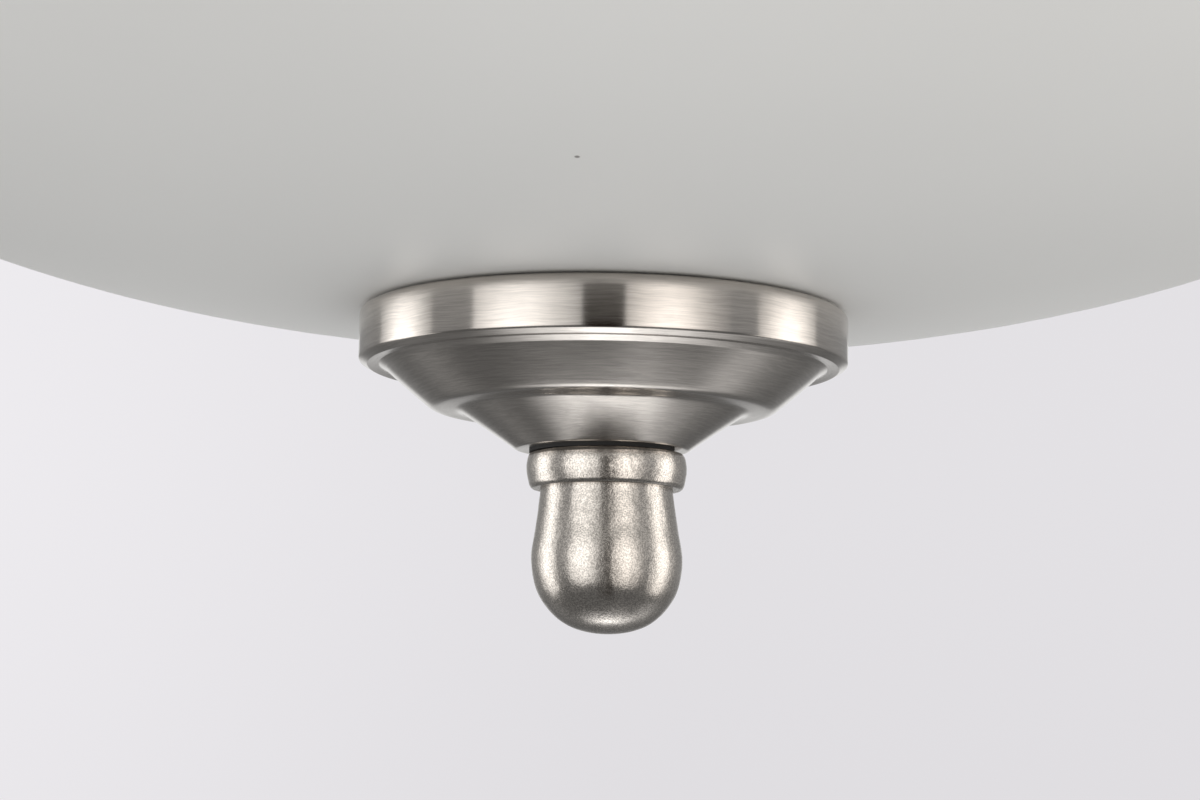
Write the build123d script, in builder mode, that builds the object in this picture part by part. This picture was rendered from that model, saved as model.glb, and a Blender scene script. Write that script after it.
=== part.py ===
"""Flush mount ceiling light: a stepped metal pan, an opal glass bowl and a screw-on stepped cap and finial.

Millimetres, +Z up. The origin is the centre of the mounting strap's top face, in the plane of the ceiling, so
the whole light hangs below z = 0. Two lamp holders lie under the pan, each turned half a turn from the other.
"""

import os
from math import asin, cos, pi, radians, sin, tan

from build123d import *

# Sheet metal and general fits
sheet = 0.8  # spun steel of the pan
running_gap = 0.3  # between parts that move past each other
snug_clearance = 0.05  # radial, in riveted holes and tapped bores, which are modelled without their threads
hole_clearance = 0.35  # radial, where a screw or tube passes freely
seat_gap = 0.3  # a soft or brittle piece and its seat
sharpest = 0.05  # smallest inside bend of a sheet

# Glass bowl
bowl_radius = 155.0
bowl_depth = 100.0
bowl_roundness = 2.45  # exponent of the outline: 2 is an ellipse, and more is flatter below
bowl_wall = 3.5
bowl_edge_radius = 0.9  # fire-polished rim
outline_steps = 9  # points that shape the bowl's outline

# Pan
hollow_depth = 20.0  # wiring space between the ceiling and the pan's plate
lip_drop = 7.0  # the folded lip below the plate hides the edge of the glass
lip_width = 4.0
lip_play = 1.5  # between the lip and the glass
lip_bend = 1.8
plate_bend = 0.8
pan_step = 5.5  # the band stands out this far beyond the lip
band_height = 11.0
shoulder_drop = 1.4
shoulder_width = 3.0
band_bend = 1.5
shoulder_bend = 1.2
hem_width = 4.0  # turned-in edge that lies on the ceiling
rim_gasket_width = 6.0
rim_gasket_height = 1.2

# Threaded tube, 1/8 IP
tube_radius = 5.14
tube_bore_radius = 3.2
tube_above_nut = 2.5
nut_across_flats = 14.3
nut_height = 3.2
lock_washer_radius = 7.6
lock_washer_height = 1.2
nut_chamfer = 0.5

# Mounting strap
strap_width = 22.0
strap_thickness = 2.0
strap_bend = 2.5
strap_corner = 4.0
offset_drop = 6.0  # how far the strap's ends are jogged down, to make room for the screw heads
jog_run = 4.0
strap_end = 9.5  # from a mounting screw to the strap's end
box_spacing_small = 69.85  # screw spacings of the two common outlet boxes
box_spacing_large = 88.9
box_screw_slot_radius = 2.3
ground_offset_x = 14.0
ground_offset_y = 5.0
strap_hole_edge = 3.5  # metal between a box slot's end and the jog

# Mounting screws and cap nuts
machine_screw_radius = 2.08
screw_head_radius = 3.9
screw_head_height = 2.3
screw_head_round = 1.0
driver_slot_width = 1.0
driver_slot_depth = 0.9
cap_nut_radius = 6.0
cap_nut_height = 11.0
cap_nut_flange_radius = 8.0
cap_nut_flange = 1.6
cap_nut_grips = 18
cap_nut_grip_radius = 0.55
cap_nut_roof = 2.0  # closed end of the nut
screw_end_gap = 1.2

# Insulation blanket
blanket_inner_radius = 82.0
blanket_edge = 8.0  # from the blanket to the pan's side
blanket_thickness = 10.0
blanket_round = 3.0

# Bulbs, standard medium screw base, and their holders
bulb_radius = 30.0
bulb_base_radius = 13.0
bulb_base_wall = 0.4
bulb_base_length = 20.0
base_above_mouth = 1.2
bulb_tip_radius = 4.6
bulb_tip_height = 1.5
bulb_tip_round = 1.2
insulator_height = 4.0
insulator_radius = 9.0
insulator_plug = 2.0  # its part inside the screw base
housing_length = 40.0  # from the holder's mouth to the diffuser
housing_neck_radius = 14.2
diffuser_wall = 1.4
diffuser_seat = 27.9  # radius where the diffuser stands on the housing
housing_lip = 0.8
housing_neck_flare = 8.0  # degrees
housing_top_flare = 12.0
bulb_headroom = 11.0  # from the bulb to the pan's plate
bulb_side_gap = 14.0  # from the bulb to the light's centre
holder_setback = 20.0  # the holder's mouth lies this far behind the light's centre

holder_radius = 19.5
holder_front_length = 31.0
holder_length = 46.0
holder_rear_radius = 16.5
holder_draft = 0.8
holder_mouth_round = 1.6
holder_flat = 13.0  # from the axis to the flats that carry the terminals
shell_wall = 0.5
shell_length = 27.0
shell_setback = 1.0
shell_floor_radius = 9.5
cavity_play = 0.15
cavity_depth = 30.0
contact_width = 6.0
contact_thickness = 0.5
contact_reach = 8.5
contact_foot = 4.5
contact_pad = 4.0
terminal_head_radius = 3.2
terminal_head_height = 1.6
terminal_shank_radius = 1.6
terminal_shank_length = 2.2
terminal_inset = 7.5  # from the holder's back face

# Holder bracket
bracket_thickness = 1.5
bracket_width = 24.0
bracket_foot = 24.0
bracket_bend = 2.0
bracket_below_axis = 14.0
bracket_corner = 8.0
rivet_spacing = 13.0
rivet_inset = 9.0  # from the foot's end
rivet_radius = 1.6
rivet_head_radius = 3.0
rivet_head_height = 1.0
rivet_head_taper = 30
holder_screw_spacing = 18.0
holder_screw_radius = 1.6
holder_screw_reach = 7.0
holder_screw_head_radius = 3.0
holder_screw_head_height = 1.8

# Wire bushings, which the leads pass through
bushing_x = 34.0
bushing_y = 19.0
bushing_neck_radius = 5.8
bushing_bore_radius = 4.0
bushing_flange_radius = 7.6
bushing_flange = 1.5
bushing_snap = 0.6
bushing_snap_height = 1.4
bushing_snap_taper = 20

# Rubber grommet in the glass
grommet_wall = 1.0
grommet_flange_radius = 10.5
grommet_flange = 1.2

# Stepped cap, from its rim down to its hub
cap_sheet = 0.6
cap_radius = 32.0
cap_curl = 2.0  # turned-in edge under the glass
cap_band = 6.7
cap_ledge_radius = 30.1
cap_ledge_drop = 0.25
cap_bead_step = 0.45
cap_bead_run = 0.25
cap_first_radius = 28.1
cap_first_drop = 7.85
cap_second_radius = 22.4
cap_second_drop = 12.8
cap_third_radius = 17.95
cap_third_drop = 13.45
cap_hub_radius = 11.3
cap_hub_drop = 17.95
cap_edge_bend = 1.05
cap_band_bend = 0.85
cap_bead_bend = 0.2
cap_first_bend = 0.9
cap_second_bend = 1.4
cap_third_bend = 0.95
cap_hub_bend = 1.3

# Finial and its washer
hub_washer_radius = 9.5
hub_washer_height = 0.4
collar_edge_radius = 10.1
collar_radius = 10.45
collar_foot_radius = 10.0
collar_height = 4.7
collar_round = 0.45
neck_radius = 8.65
neck_length = 0.4
finial_radius = 9.82
finial_bulge_drop = 14.3  # from the collar's top to the widest part of the knob
finial_height = 23.5
knob_shoulder_radius = 8.73
knob_shoulder_drop = 18.8
knob_toe_radius = 5.9
knob_toe_drop = 21.95
flare_radius = 9.2
flare_drop = 9.4
flare_angle = 6.0
collar_bulge_drop = 1.9
finial_bore_depth = 14.0
thread_engagement = 10.0  # how far the tube reaches into the finial

# Places that follow from the sizes above
plate_top = -hollow_depth
plate_bottom = plate_top - sheet
lip_inner = bowl_radius + lip_play
lip_outer = lip_inner + lip_width
pan_radius = lip_outer + pan_step
lip_bottom = plate_bottom - lip_drop
glass_rim = plate_bottom - rim_gasket_height - seat_gap
bowl_bottom = glass_rim - bowl_depth
bowl_hole_radius = tube_radius + 2 * running_gap + grommet_wall + running_gap
tube_hole_radius = tube_radius + hole_clearance


def bowl_point(angle, inset=0.0):
    """Radius and height of the bowl's outline, from angle 0 at its foot to a right angle at its rim."""
    wide = sin(angle) ** (2 / bowl_roundness)
    deep = cos(angle) ** (2 / bowl_roundness)
    normal_out = wide ** (bowl_roundness - 1) / bowl_radius
    normal_down = deep ** (bowl_roundness - 1) / bowl_depth
    length = (normal_out**2 + normal_down**2) ** 0.5
    radius = bowl_radius * wide - inset * normal_out / length
    height = glass_rim - bowl_depth * deep + inset * normal_down / length
    return radius, height


def bowl_height(radius):
    """Height of the bowl's outer surface at a radius."""
    return bowl_point(asin((radius / bowl_radius) ** (bowl_roundness / 2)))[1]


cap_top = bowl_height(cap_radius - cap_edge_bend) - running_gap
hub_bottom = cap_top - cap_hub_drop
collar_top = hub_bottom - hub_washer_height
tube_bottom = collar_top - thread_engagement
tube_top = plate_top + lock_washer_height + nut_height + tube_above_nut

box_slot_spacing = (box_spacing_small + box_spacing_large) / 2
box_slot_length = (box_spacing_large - box_spacing_small) / 2 + 2 * box_screw_slot_radius
jog_start = (box_slot_spacing + box_slot_length) / 2 + strap_hole_edge
mounting_x = jog_start + jog_run + strap_end
strap_half_length = mounting_x + strap_end
strap_end_top = -offset_drop

axis_y = bulb_radius + bulb_side_gap
axis_z = plate_bottom - bulb_radius - bulb_headroom
mouth_x = -holder_setback
holder_back = mouth_x - holder_length
bracket_back = holder_back - bracket_thickness
shell_inner = bulb_base_radius + running_gap
shell_outer = shell_inner + shell_wall
base_tip = -(bulb_base_length + insulator_height + bulb_tip_height)

# Planes of the first lamp holder: along its axis, across it, and its bracket's foot
lamp_plane = Plane(origin=(mouth_x, axis_y, axis_z), x_dir=(1, 0, 0), z_dir=(0, -1, 0))
lamp_axis = Axis(origin=(mouth_x, axis_y, axis_z), direction=(1, 0, 0))
back_plane = Plane(origin=(holder_back, axis_y, axis_z), x_dir=(0, 1, 0), z_dir=(-1, 0, 0))
leg_plane = Plane(origin=(bracket_back, axis_y, axis_z), x_dir=(0, 1, 0), z_dir=(-1, 0, 0))
foot_bottom = plate_bottom - bracket_thickness
rivet_x = bracket_back + bracket_foot - rivet_inset
rivet_places = [(rivet_x, axis_y - rivet_spacing / 2), (rivet_x, axis_y + rivet_spacing / 2)]
rivet_places += [(-x, -y) for x, y in rivet_places]
bushing_places = [(-bushing_x, bushing_y), (bushing_x, -bushing_y)]
mounting_places = [(-mounting_x, 0), (mounting_x, 0)]
holder_screw_places = [(0, -holder_screw_spacing / 2), (0, holder_screw_spacing / 2)]
terminal_plane = Plane(
    origin=(holder_back + terminal_inset, axis_y + holder_flat, axis_z), x_dir=(1, 0, 0), z_dir=(0, 1, 0)
)
side_turns = {"left": 0, "right": 180}  # the second lamp holder is the first, turned about the light's axis

os.makedirs("parts", exist_ok=True)


def heading(start, end):
    """Unit direction from one point to another."""
    run, rise = end[0] - start[0], end[1] - start[1]
    length = (run**2 + rise**2) ** 0.5
    return run / length, rise / length


def far_side(path, thickness):
    """Corner points of the other face of a bent sheet, which lies to the right of its path."""
    ways = [heading(start, end) for start, end in zip(path, path[1:])]
    corners = []
    for (x, y), before, after in zip(path, ways[:1] + ways, ways + ways[-1:]):
        share = 1 + before[0] * after[0] + before[1] * after[1]
        across = (before[1] + after[1]) / share, -(before[0] + after[0]) / share
        corners.append((x + thickness * across[0], y + thickness * across[1]))
    return corners


def far_bends(path, bends, thickness):
    """Bend radii of that other face: tighter on the inside of a turn, and wider on its outside."""
    ways = [heading(start, end) for start, end in zip(path, path[1:])]
    turns = [before[0] * after[1] - before[1] * after[0] for before, after in zip(ways, ways[1:])]
    return [max(bend + (thickness if turn > 0 else -thickness), sharpest) for bend, turn in zip(bends, turns)]


# Pan: one spun sheet, from the hem on the ceiling out to the band, in to the folded lip and across the plate
pan_path = [
    (pan_radius - hem_width, 0),
    (pan_radius, 0),
    (pan_radius, -band_height),
    (pan_radius - shoulder_width, -band_height - shoulder_drop),
    (lip_outer, plate_bottom),
    (lip_outer, lip_bottom),
    (lip_inner, lip_bottom),
    (lip_inner, plate_bottom),
    (tube_hole_radius, plate_bottom),
]
pan_bends = [band_bend, band_bend, shoulder_bend, shoulder_bend, lip_bend, lip_bend, plate_bend]
with BuildPart() as ceiling_pan:
    with BuildSketch(Plane.XZ):
        with BuildLine():
            FilletPolyline(*pan_path, radius=pan_bends)
            pan_inside = far_side(pan_path, sheet)
            FilletPolyline(*pan_inside, radius=far_bends(pan_path, pan_bends, sheet))
            Line(pan_path[0], pan_inside[0])
            Line(pan_path[-1], pan_inside[-1])
        make_face()
    revolve(axis=Axis.Z)
    with BuildSketch(Plane.XY.offset(plate_bottom)):
        with Locations(*bushing_places):
            Circle(bushing_neck_radius + seat_gap)
        with Locations(*rivet_places):
            Circle(rivet_radius + snug_clearance)
        with Locations(*mounting_places):
            Circle(machine_screw_radius + hole_clearance)
    extrude(amount=sheet, mode=Mode.SUBTRACT)
ceiling_pan.part.label = "ceiling_pan"
export_step(ceiling_pan.part, "parts/ceiling_pan.step")

# Gasket: a flat foam ring under the plate, which the rim of the glass is pressed against
with BuildPart() as rim_gasket:
    with BuildSketch(Plane.XY.offset(plate_bottom)):
        Circle(bowl_radius)
        Circle(bowl_radius - rim_gasket_width, mode=Mode.SUBTRACT)
    extrude(amount=-rim_gasket_height)
rim_gasket.part.label = "rim_gasket"
export_step(rim_gasket.part, "parts/rim_gasket.step")

# Insulation blanket: a soft ring that fills the pan round the wiring space
with BuildPart() as insulation_blanket:
    with BuildSketch(Plane.XY.offset(plate_top + seat_gap)):
        Circle(lip_inner - blanket_edge)
        Circle(blanket_inner_radius, mode=Mode.SUBTRACT)
    extrude(amount=blanket_thickness)
    fillet(insulation_blanket.edges().filter_by(GeomType.CIRCLE), blanket_round)
insulation_blanket.part.label = "insulation_blanket"
export_step(insulation_blanket.part, "parts/insulation_blanket.step")

# Mounting strap: a flat bar against the outlet box, with its ends jogged down below the ceiling plane
strap_path = [
    (-strap_half_length, strap_end_top),
    (-jog_start - jog_run, strap_end_top),
    (-jog_start, 0),
    (jog_start, 0),
    (jog_start + jog_run, strap_end_top),
    (strap_half_length, strap_end_top),
]
strap_bends = [strap_bend] * (len(strap_path) - 2)
with BuildPart() as mounting_strap:
    with BuildSketch(Plane.XZ.offset(-strap_width / 2)):
        with BuildLine():
            FilletPolyline(*strap_path, radius=strap_bends)
            strap_underside = far_side(strap_path, strap_thickness)
            FilletPolyline(*strap_underside, radius=far_bends(strap_path, strap_bends, strap_thickness))
            Line(strap_path[0], strap_underside[0])
            Line(strap_path[-1], strap_underside[-1])
        make_face()
    extrude(amount=strap_width)
    fillet(mounting_strap.edges().filter_by(Axis.Z), strap_corner)
    with BuildSketch(Plane.XY):
        with Locations((-box_slot_spacing / 2, 0), (box_slot_spacing / 2, 0)):
            SlotOverall(box_slot_length, 2 * box_screw_slot_radius)
        Circle(tube_radius + snug_clearance)
        with Locations((ground_offset_x, ground_offset_y), *mounting_places):
            Circle(machine_screw_radius + snug_clearance)
    extrude(amount=strap_end_top - strap_thickness, mode=Mode.SUBTRACT)
mounting_strap.part.label = "mounting_strap"
export_step(mounting_strap.part, "parts/mounting_strap.step")

# Ground screw: driven up into the strap from below
with BuildPart() as ground_screw:
    with BuildSketch(Plane.XY.offset(-strap_thickness)):
        with Locations((ground_offset_x, ground_offset_y)):
            Circle(screw_head_radius)
    extrude(amount=-screw_head_height)
    fillet(ground_screw.edges().sort_by(Axis.Z)[0], screw_head_round)
    with BuildSketch(Plane.XY.offset(-strap_thickness)):
        with Locations((ground_offset_x, ground_offset_y)):
            Circle(machine_screw_radius)
    extrude(amount=strap_thickness - seat_gap)
    with BuildSketch(Plane.XY.offset(-strap_thickness - screw_head_height)):
        with Locations((ground_offset_x, ground_offset_y)):
            Rectangle(2 * screw_head_radius, driver_slot_width)
    extrude(amount=driver_slot_depth, mode=Mode.SUBTRACT)
ground_screw.part.label = "ground_screw"
export_step(ground_screw.part, "parts/ground_screw.step")

# Mounting screws: heads on the strap's jogged ends, shanks down through the pan into the cap nuts
screw_end = plate_bottom - cap_nut_height + cap_nut_roof + screw_end_gap
with BuildPart() as mounting_screws:
    with BuildSketch(Plane.XY.offset(strap_end_top)):
        with Locations(*mounting_places):
            Circle(screw_head_radius)
    extrude(amount=screw_head_height)
    fillet(mounting_screws.edges().group_by(Axis.Z)[-1], screw_head_round)
    with BuildSketch(Plane.XY.offset(strap_end_top)):
        with Locations(*mounting_places):
            Circle(machine_screw_radius)
    extrude(amount=screw_end - strap_end_top)
    with BuildSketch(Plane.XY.offset(strap_end_top + screw_head_height)):
        with Locations(*mounting_places):
            Rectangle(driver_slot_width, 2 * screw_head_radius)
    extrude(amount=-driver_slot_depth, mode=Mode.SUBTRACT)
mounting_screws.part.label = "mounting_screws"
export_step(mounting_screws.part, "parts/mounting_screws.step")

# Cap nuts: closed thumb nuts with a flange against the pan and a ring of grip grooves
with BuildPart() as cap_nuts:
    for place_x, place_y in mounting_places:
        with BuildSketch(Plane.XY.offset(plate_bottom)):
            with Locations((place_x, place_y)):
                Circle(cap_nut_flange_radius)
        extrude(amount=-cap_nut_flange)
        with BuildSketch(Plane.XY.offset(plate_bottom - cap_nut_flange)):
            with Locations((place_x, place_y)):
                Circle(cap_nut_radius)
                with PolarLocations(cap_nut_radius, cap_nut_grips):
                    Circle(cap_nut_grip_radius, mode=Mode.SUBTRACT)
        extrude(amount=cap_nut_flange - cap_nut_height)
    with BuildSketch(Plane.XY.offset(plate_bottom)):
        with Locations(*mounting_places):
            Circle(machine_screw_radius + snug_clearance)
    extrude(amount=cap_nut_roof - cap_nut_height, mode=Mode.SUBTRACT)
cap_nuts.part.label = "cap_nuts"
export_step(cap_nuts.part, "parts/cap_nuts.step")

# Threaded tube: hangs from the pan's plate and carries the finial
with BuildPart() as threaded_tube:
    with BuildSketch(Plane.XY.offset(tube_bottom)):
        Circle(tube_radius)
        Circle(tube_bore_radius, mode=Mode.SUBTRACT)
    extrude(amount=tube_top - tube_bottom)
    chamfer(threaded_tube.edges().filter_by(GeomType.CIRCLE).group_by(SortBy.RADIUS)[-1], nut_chamfer)
threaded_tube.part.label = "threaded_tube"
export_step(threaded_tube.part, "parts/threaded_tube.step")

# Tube nuts and lock washers, one of each above the plate and below it
tube_levels = {
    "upper": (plate_top, plate_top + lock_washer_height),
    "lower": (plate_bottom - lock_washer_height, plate_bottom - lock_washer_height - nut_height),
}
for level, (washer_bottom, nut_bottom) in tube_levels.items():
    with BuildPart() as lock_washer:
        with BuildSketch(Plane.XY.offset(washer_bottom)):
            Circle(lock_washer_radius)
            Circle(tube_radius + snug_clearance, mode=Mode.SUBTRACT)
        extrude(amount=lock_washer_height)
    lock_washer.part.label = f"tube_washer_{level}"
    export_step(lock_washer.part, f"parts/tube_washer_{level}.step")
    with BuildPart() as tube_nut:
        with BuildSketch(Plane.XY.offset(nut_bottom)):
            RegularPolygon(nut_across_flats / 2, 6, major_radius=False)
        extrude(amount=nut_height)
        chamfer(tube_nut.edges().filter_by(Axis.Z, reverse=True), nut_chamfer)
        with BuildSketch(Plane.XY.offset(nut_bottom)):
            Circle(tube_radius + snug_clearance)
        extrude(amount=nut_height, mode=Mode.SUBTRACT)
    tube_nut.part.label = f"tube_nut_{level}"
    export_step(tube_nut.part, f"parts/tube_nut_{level}.step")

# Wire bushings: snap-in rings with a flange below the plate
with BuildPart() as wire_bushings:
    for place_x, place_y in bushing_places:
        with BuildSketch(Plane.XY.offset(plate_bottom)):
            with Locations((place_x, place_y)):
                Circle(bushing_flange_radius)
        extrude(amount=-bushing_flange)
        with BuildSketch(Plane.XY.offset(plate_bottom)):
            with Locations((place_x, place_y)):
                Circle(bushing_neck_radius)
        extrude(amount=sheet + seat_gap)
        with BuildSketch(Plane.XY.offset(plate_top + seat_gap)):
            with Locations((place_x, place_y)):
                Circle(bushing_neck_radius + bushing_snap)
        extrude(amount=bushing_snap_height, taper=bushing_snap_taper)
    with BuildSketch(Plane.XY.offset(plate_bottom - bushing_flange)):
        with Locations(*bushing_places):
            Circle(bushing_bore_radius)
    extrude(amount=hollow_depth, mode=Mode.SUBTRACT)
wire_bushings.part.label = "wire_bushings"
export_step(wire_bushings.part, "parts/wire_bushings.step")

# Rivets that hold the brackets under the plate, with a head at each end
with BuildPart() as bracket_rivets:
    with BuildSketch(Plane.XY.offset(foot_bottom)):
        with Locations(*rivet_places):
            Circle(rivet_head_radius)
    extrude(amount=-rivet_head_height, taper=rivet_head_taper)
    with BuildSketch(Plane.XY.offset(foot_bottom)):
        with Locations(*rivet_places):
            Circle(rivet_radius)
    extrude(amount=bracket_thickness + sheet)
    with BuildSketch(Plane.XY.offset(plate_top)):
        with Locations(*rivet_places):
            Circle(rivet_head_radius)
    extrude(amount=rivet_head_height, taper=rivet_head_taper)
bracket_rivets.part.label = "bracket_rivets"
export_step(bracket_rivets.part, "parts/bracket_rivets.step")


def save_pair(piece, name):
    """Write a piece of the first lamp holder, and its copy turned half a turn about the light's axis."""
    for side, turn in side_turns.items():
        copy = piece.rotate(Axis.Z, turn)
        copy.label = f"{name}_{side}"
        export_step(copy, f"parts/{name}_{side}.step")


# Holder bracket: a foot riveted under the plate, and a leg behind the lamp holder
bracket_path = [
    (bracket_back, axis_z - bracket_below_axis),
    (bracket_back, plate_bottom),
    (bracket_back + bracket_foot, plate_bottom),
]
with BuildPart() as holder_bracket:
    with BuildSketch(Plane.XZ.offset(-axis_y - bracket_width / 2)):
        with BuildLine():
            FilletPolyline(*bracket_path, radius=bracket_bend)
            bracket_inside = far_side(bracket_path, bracket_thickness)
            FilletPolyline(*bracket_inside, radius=far_bends(bracket_path, [bracket_bend], bracket_thickness))
            Line(bracket_path[0], bracket_inside[0])
            Line(bracket_path[-1], bracket_inside[-1])
        make_face()
    extrude(amount=bracket_width)
    leg_corners = holder_bracket.edges().filter_by(Axis.X).group_by(Axis.Z)[0]
    foot_corners = holder_bracket.edges().filter_by(Axis.Z).group_by(Axis.X)[-1]
    fillet(leg_corners, bracket_corner)
    fillet(foot_corners, bracket_corner / 2)
    with BuildSketch(leg_plane):
        with Locations(*holder_screw_places):
            Circle(holder_screw_radius + hole_clearance)
    extrude(amount=-bracket_thickness, mode=Mode.SUBTRACT)
    with BuildSketch(Plane.XY.offset(plate_bottom)):
        with Locations(*rivet_places[:2]):
            Circle(rivet_radius + snug_clearance)
    extrude(amount=-bracket_thickness, mode=Mode.SUBTRACT)
save_pair(holder_bracket.part, "holder_bracket")

# Lamp holder body: glazed porcelain, with a cavity for the screw shell and two flats for the terminals
with BuildPart() as holder_body:
    with BuildSketch(lamp_plane):
        with BuildLine():
            Polyline(
                (0, shell_outer + cavity_play),
                (0, holder_radius),
                (-holder_front_length, holder_radius - holder_draft),
                (-holder_front_length - holder_draft, holder_rear_radius),
                (-holder_length, holder_rear_radius),
                (-holder_length, 0),
                (-cavity_depth, 0),
                (-cavity_depth, shell_outer + cavity_play),
                close=True,
            )
        make_face()
    revolve(axis=lamp_axis)
    round_edges = holder_body.edges().filter_by(GeomType.CIRCLE)
    fillet(round_edges.group_by(Axis.X)[-1].sort_by(SortBy.RADIUS)[-1], holder_mouth_round)
    fillet(round_edges.group_by(Axis.X)[0].sort_by(SortBy.RADIUS)[-1], holder_mouth_round)
    with BuildSketch(back_plane):
        flat_width = holder_radius - holder_flat
        with Locations((-holder_flat - flat_width / 2, 0), (holder_flat + flat_width / 2, 0)):
            Rectangle(flat_width, 2 * holder_radius)
    extrude(amount=-terminal_inset - terminal_head_radius - hole_clearance, mode=Mode.SUBTRACT)
    with BuildSketch(back_plane):
        with Locations(*holder_screw_places):
            Circle(holder_screw_radius + snug_clearance)
    extrude(amount=-holder_screw_reach, mode=Mode.SUBTRACT)
    with BuildSketch(terminal_plane):
        Circle(terminal_shank_radius + snug_clearance)
    extrude(amount=-terminal_shank_length - seat_gap, mode=Mode.SUBTRACT)
    with BuildSketch(terminal_plane.offset(-2 * holder_flat)):
        Circle(terminal_shank_radius + snug_clearance)
    extrude(amount=terminal_shank_length + seat_gap, mode=Mode.SUBTRACT)
save_pair(holder_body.part, "holder_body")

# Screw shell: drawn brass, turned in at its floor
shell_path = [
    (-shell_setback - shell_length, shell_floor_radius),
    (-shell_setback - shell_length, shell_outer),
    (-shell_setback, shell_outer),
]
with BuildPart() as holder_shell:
    with BuildSketch(lamp_plane):
        with BuildLine():
            FilletPolyline(*shell_path, radius=2 * shell_wall)
            shell_inside = far_side(shell_path, shell_wall)
            FilletPolyline(*shell_inside, radius=far_bends(shell_path, [2 * shell_wall], shell_wall))
            Line(shell_path[0], shell_inside[0])
            Line(shell_path[-1], shell_inside[-1])
        make_face()
    revolve(axis=lamp_axis)
save_pair(holder_shell.part, "holder_shell")

# Centre contact: a bent spring strip on the cavity's floor, just behind the bulb's tip
contact_back = base_tip - running_gap - contact_thickness
contact_path = [
    (contact_back, -contact_pad / 2),
    (contact_back, contact_pad / 2),
    (-cavity_depth, contact_reach - contact_foot),
    (-cavity_depth, contact_reach),
]
contact_bends = [2 * contact_thickness] * 2
with BuildPart() as holder_contact:
    with BuildSketch(lamp_plane):
        with BuildLine():
            FilletPolyline(*contact_path, radius=contact_bends)
            contact_front = far_side(contact_path, contact_thickness)
            FilletPolyline(*contact_front, radius=far_bends(contact_path, contact_bends, contact_thickness))
            Line(contact_path[0], contact_front[0])
            Line(contact_path[-1], contact_front[-1])
        make_face()
    extrude(amount=contact_width / 2, both=True)
save_pair(holder_contact.part, "holder_contact")

# Holder screws: through the bracket's leg into the porcelain
with BuildPart() as holder_screws:
    with BuildSketch(leg_plane):
        with Locations(*holder_screw_places):
            Circle(holder_screw_head_radius)
    extrude(amount=holder_screw_head_height)
    fillet(holder_screws.edges().group_by(Axis.X)[0], screw_head_round)
    with BuildSketch(leg_plane):
        with Locations(*holder_screw_places):
            Circle(holder_screw_radius)
    extrude(amount=seat_gap - bracket_thickness - holder_screw_reach)
    with BuildSketch(leg_plane.offset(holder_screw_head_height)):
        with Locations(*holder_screw_places):
            Rectangle(2 * holder_screw_head_radius, driver_slot_width)
    extrude(amount=-driver_slot_depth, mode=Mode.SUBTRACT)
save_pair(holder_screws.part, "holder_screws")

# Terminal screws: one on each flat of a lamp holder
with BuildPart() as terminal_screws:
    with BuildSketch(terminal_plane):
        Circle(terminal_head_radius)
    extrude(amount=terminal_head_height)
    with BuildSketch(terminal_plane):
        Circle(terminal_shank_radius)
    extrude(amount=-terminal_shank_length)
    with BuildSketch(terminal_plane.offset(terminal_head_height)):
        Rectangle(driver_slot_width, 2 * terminal_head_radius)
    extrude(amount=-driver_slot_depth, mode=Mode.SUBTRACT)
    mirror(about=lamp_plane)
save_pair(terminal_screws.part, "terminal_screws")

# Bulb tip: the soldered contact, a low dome
tip_plane = Plane(origin=(mouth_x - bulb_base_length - insulator_height, axis_y, axis_z), z_dir=(-1, 0, 0))
with BuildPart() as bulb_tip:
    with BuildSketch(tip_plane):
        Circle(bulb_tip_radius)
    extrude(amount=bulb_tip_height)
    fillet(bulb_tip.edges().group_by(Axis.X)[0], bulb_tip_round)
save_pair(bulb_tip.part, "bulb_tip")

# Bulb insulator: black glass between the tip and the screw base
with BuildPart() as bulb_insulator:
    with BuildSketch(lamp_plane):
        with BuildLine():
            Polyline(
                (insulator_plug - bulb_base_length, 0),
                (insulator_plug - bulb_base_length, insulator_radius - snug_clearance),
                (-bulb_base_length, insulator_radius - snug_clearance),
                (-bulb_base_length, insulator_radius + bulb_tip_height / 2),
                (-bulb_base_length - insulator_height, bulb_tip_radius + bulb_tip_height / 2),
                (-bulb_base_length - insulator_height, 0),
                close=True,
            )
        make_face()
    revolve(axis=lamp_axis)
save_pair(bulb_insulator.part, "bulb_insulator")

# Bulb screw base: a thin shell turned in round the insulator
base_path = [
    (-bulb_base_length, insulator_radius),
    (-bulb_base_length, bulb_base_radius),
    (base_above_mouth, bulb_base_radius),
]
with BuildPart() as bulb_base:
    with BuildSketch(lamp_plane):
        with BuildLine():
            FilletPolyline(*base_path, radius=2 * bulb_base_wall)
            base_inside = far_side(base_path, bulb_base_wall)
            FilletPolyline(*base_inside, radius=far_bends(base_path, [2 * bulb_base_wall], bulb_base_wall))
            Line(base_path[0], base_inside[0])
            Line(base_path[-1], base_inside[-1])
        make_face()
    revolve(axis=lamp_axis)
save_pair(bulb_base.part, "bulb_base")

# Bulb housing: the white collar that flares from the screw base to the diffuser
with BuildPart() as bulb_housing:
    housing_plug = bulb_base_radius - bulb_base_wall - snug_clearance
    with BuildSketch(lamp_plane):
        with BuildLine():
            Polyline(
                (housing_length, diffuser_seat + housing_lip),
                (housing_length, 0),
                (-bulb_base_length / 2, 0),
                (-bulb_base_length / 2, housing_plug),
                (base_above_mouth, housing_plug),
                (base_above_mouth, housing_neck_radius),
            )
            Spline(
                (base_above_mouth, housing_neck_radius),
                (housing_length, diffuser_seat + housing_lip),
                tangents=((1, tan(radians(housing_neck_flare))), (1, tan(radians(housing_top_flare)))),
            )
        make_face()
    revolve(axis=lamp_axis)
save_pair(bulb_housing.part, "bulb_housing")

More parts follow.
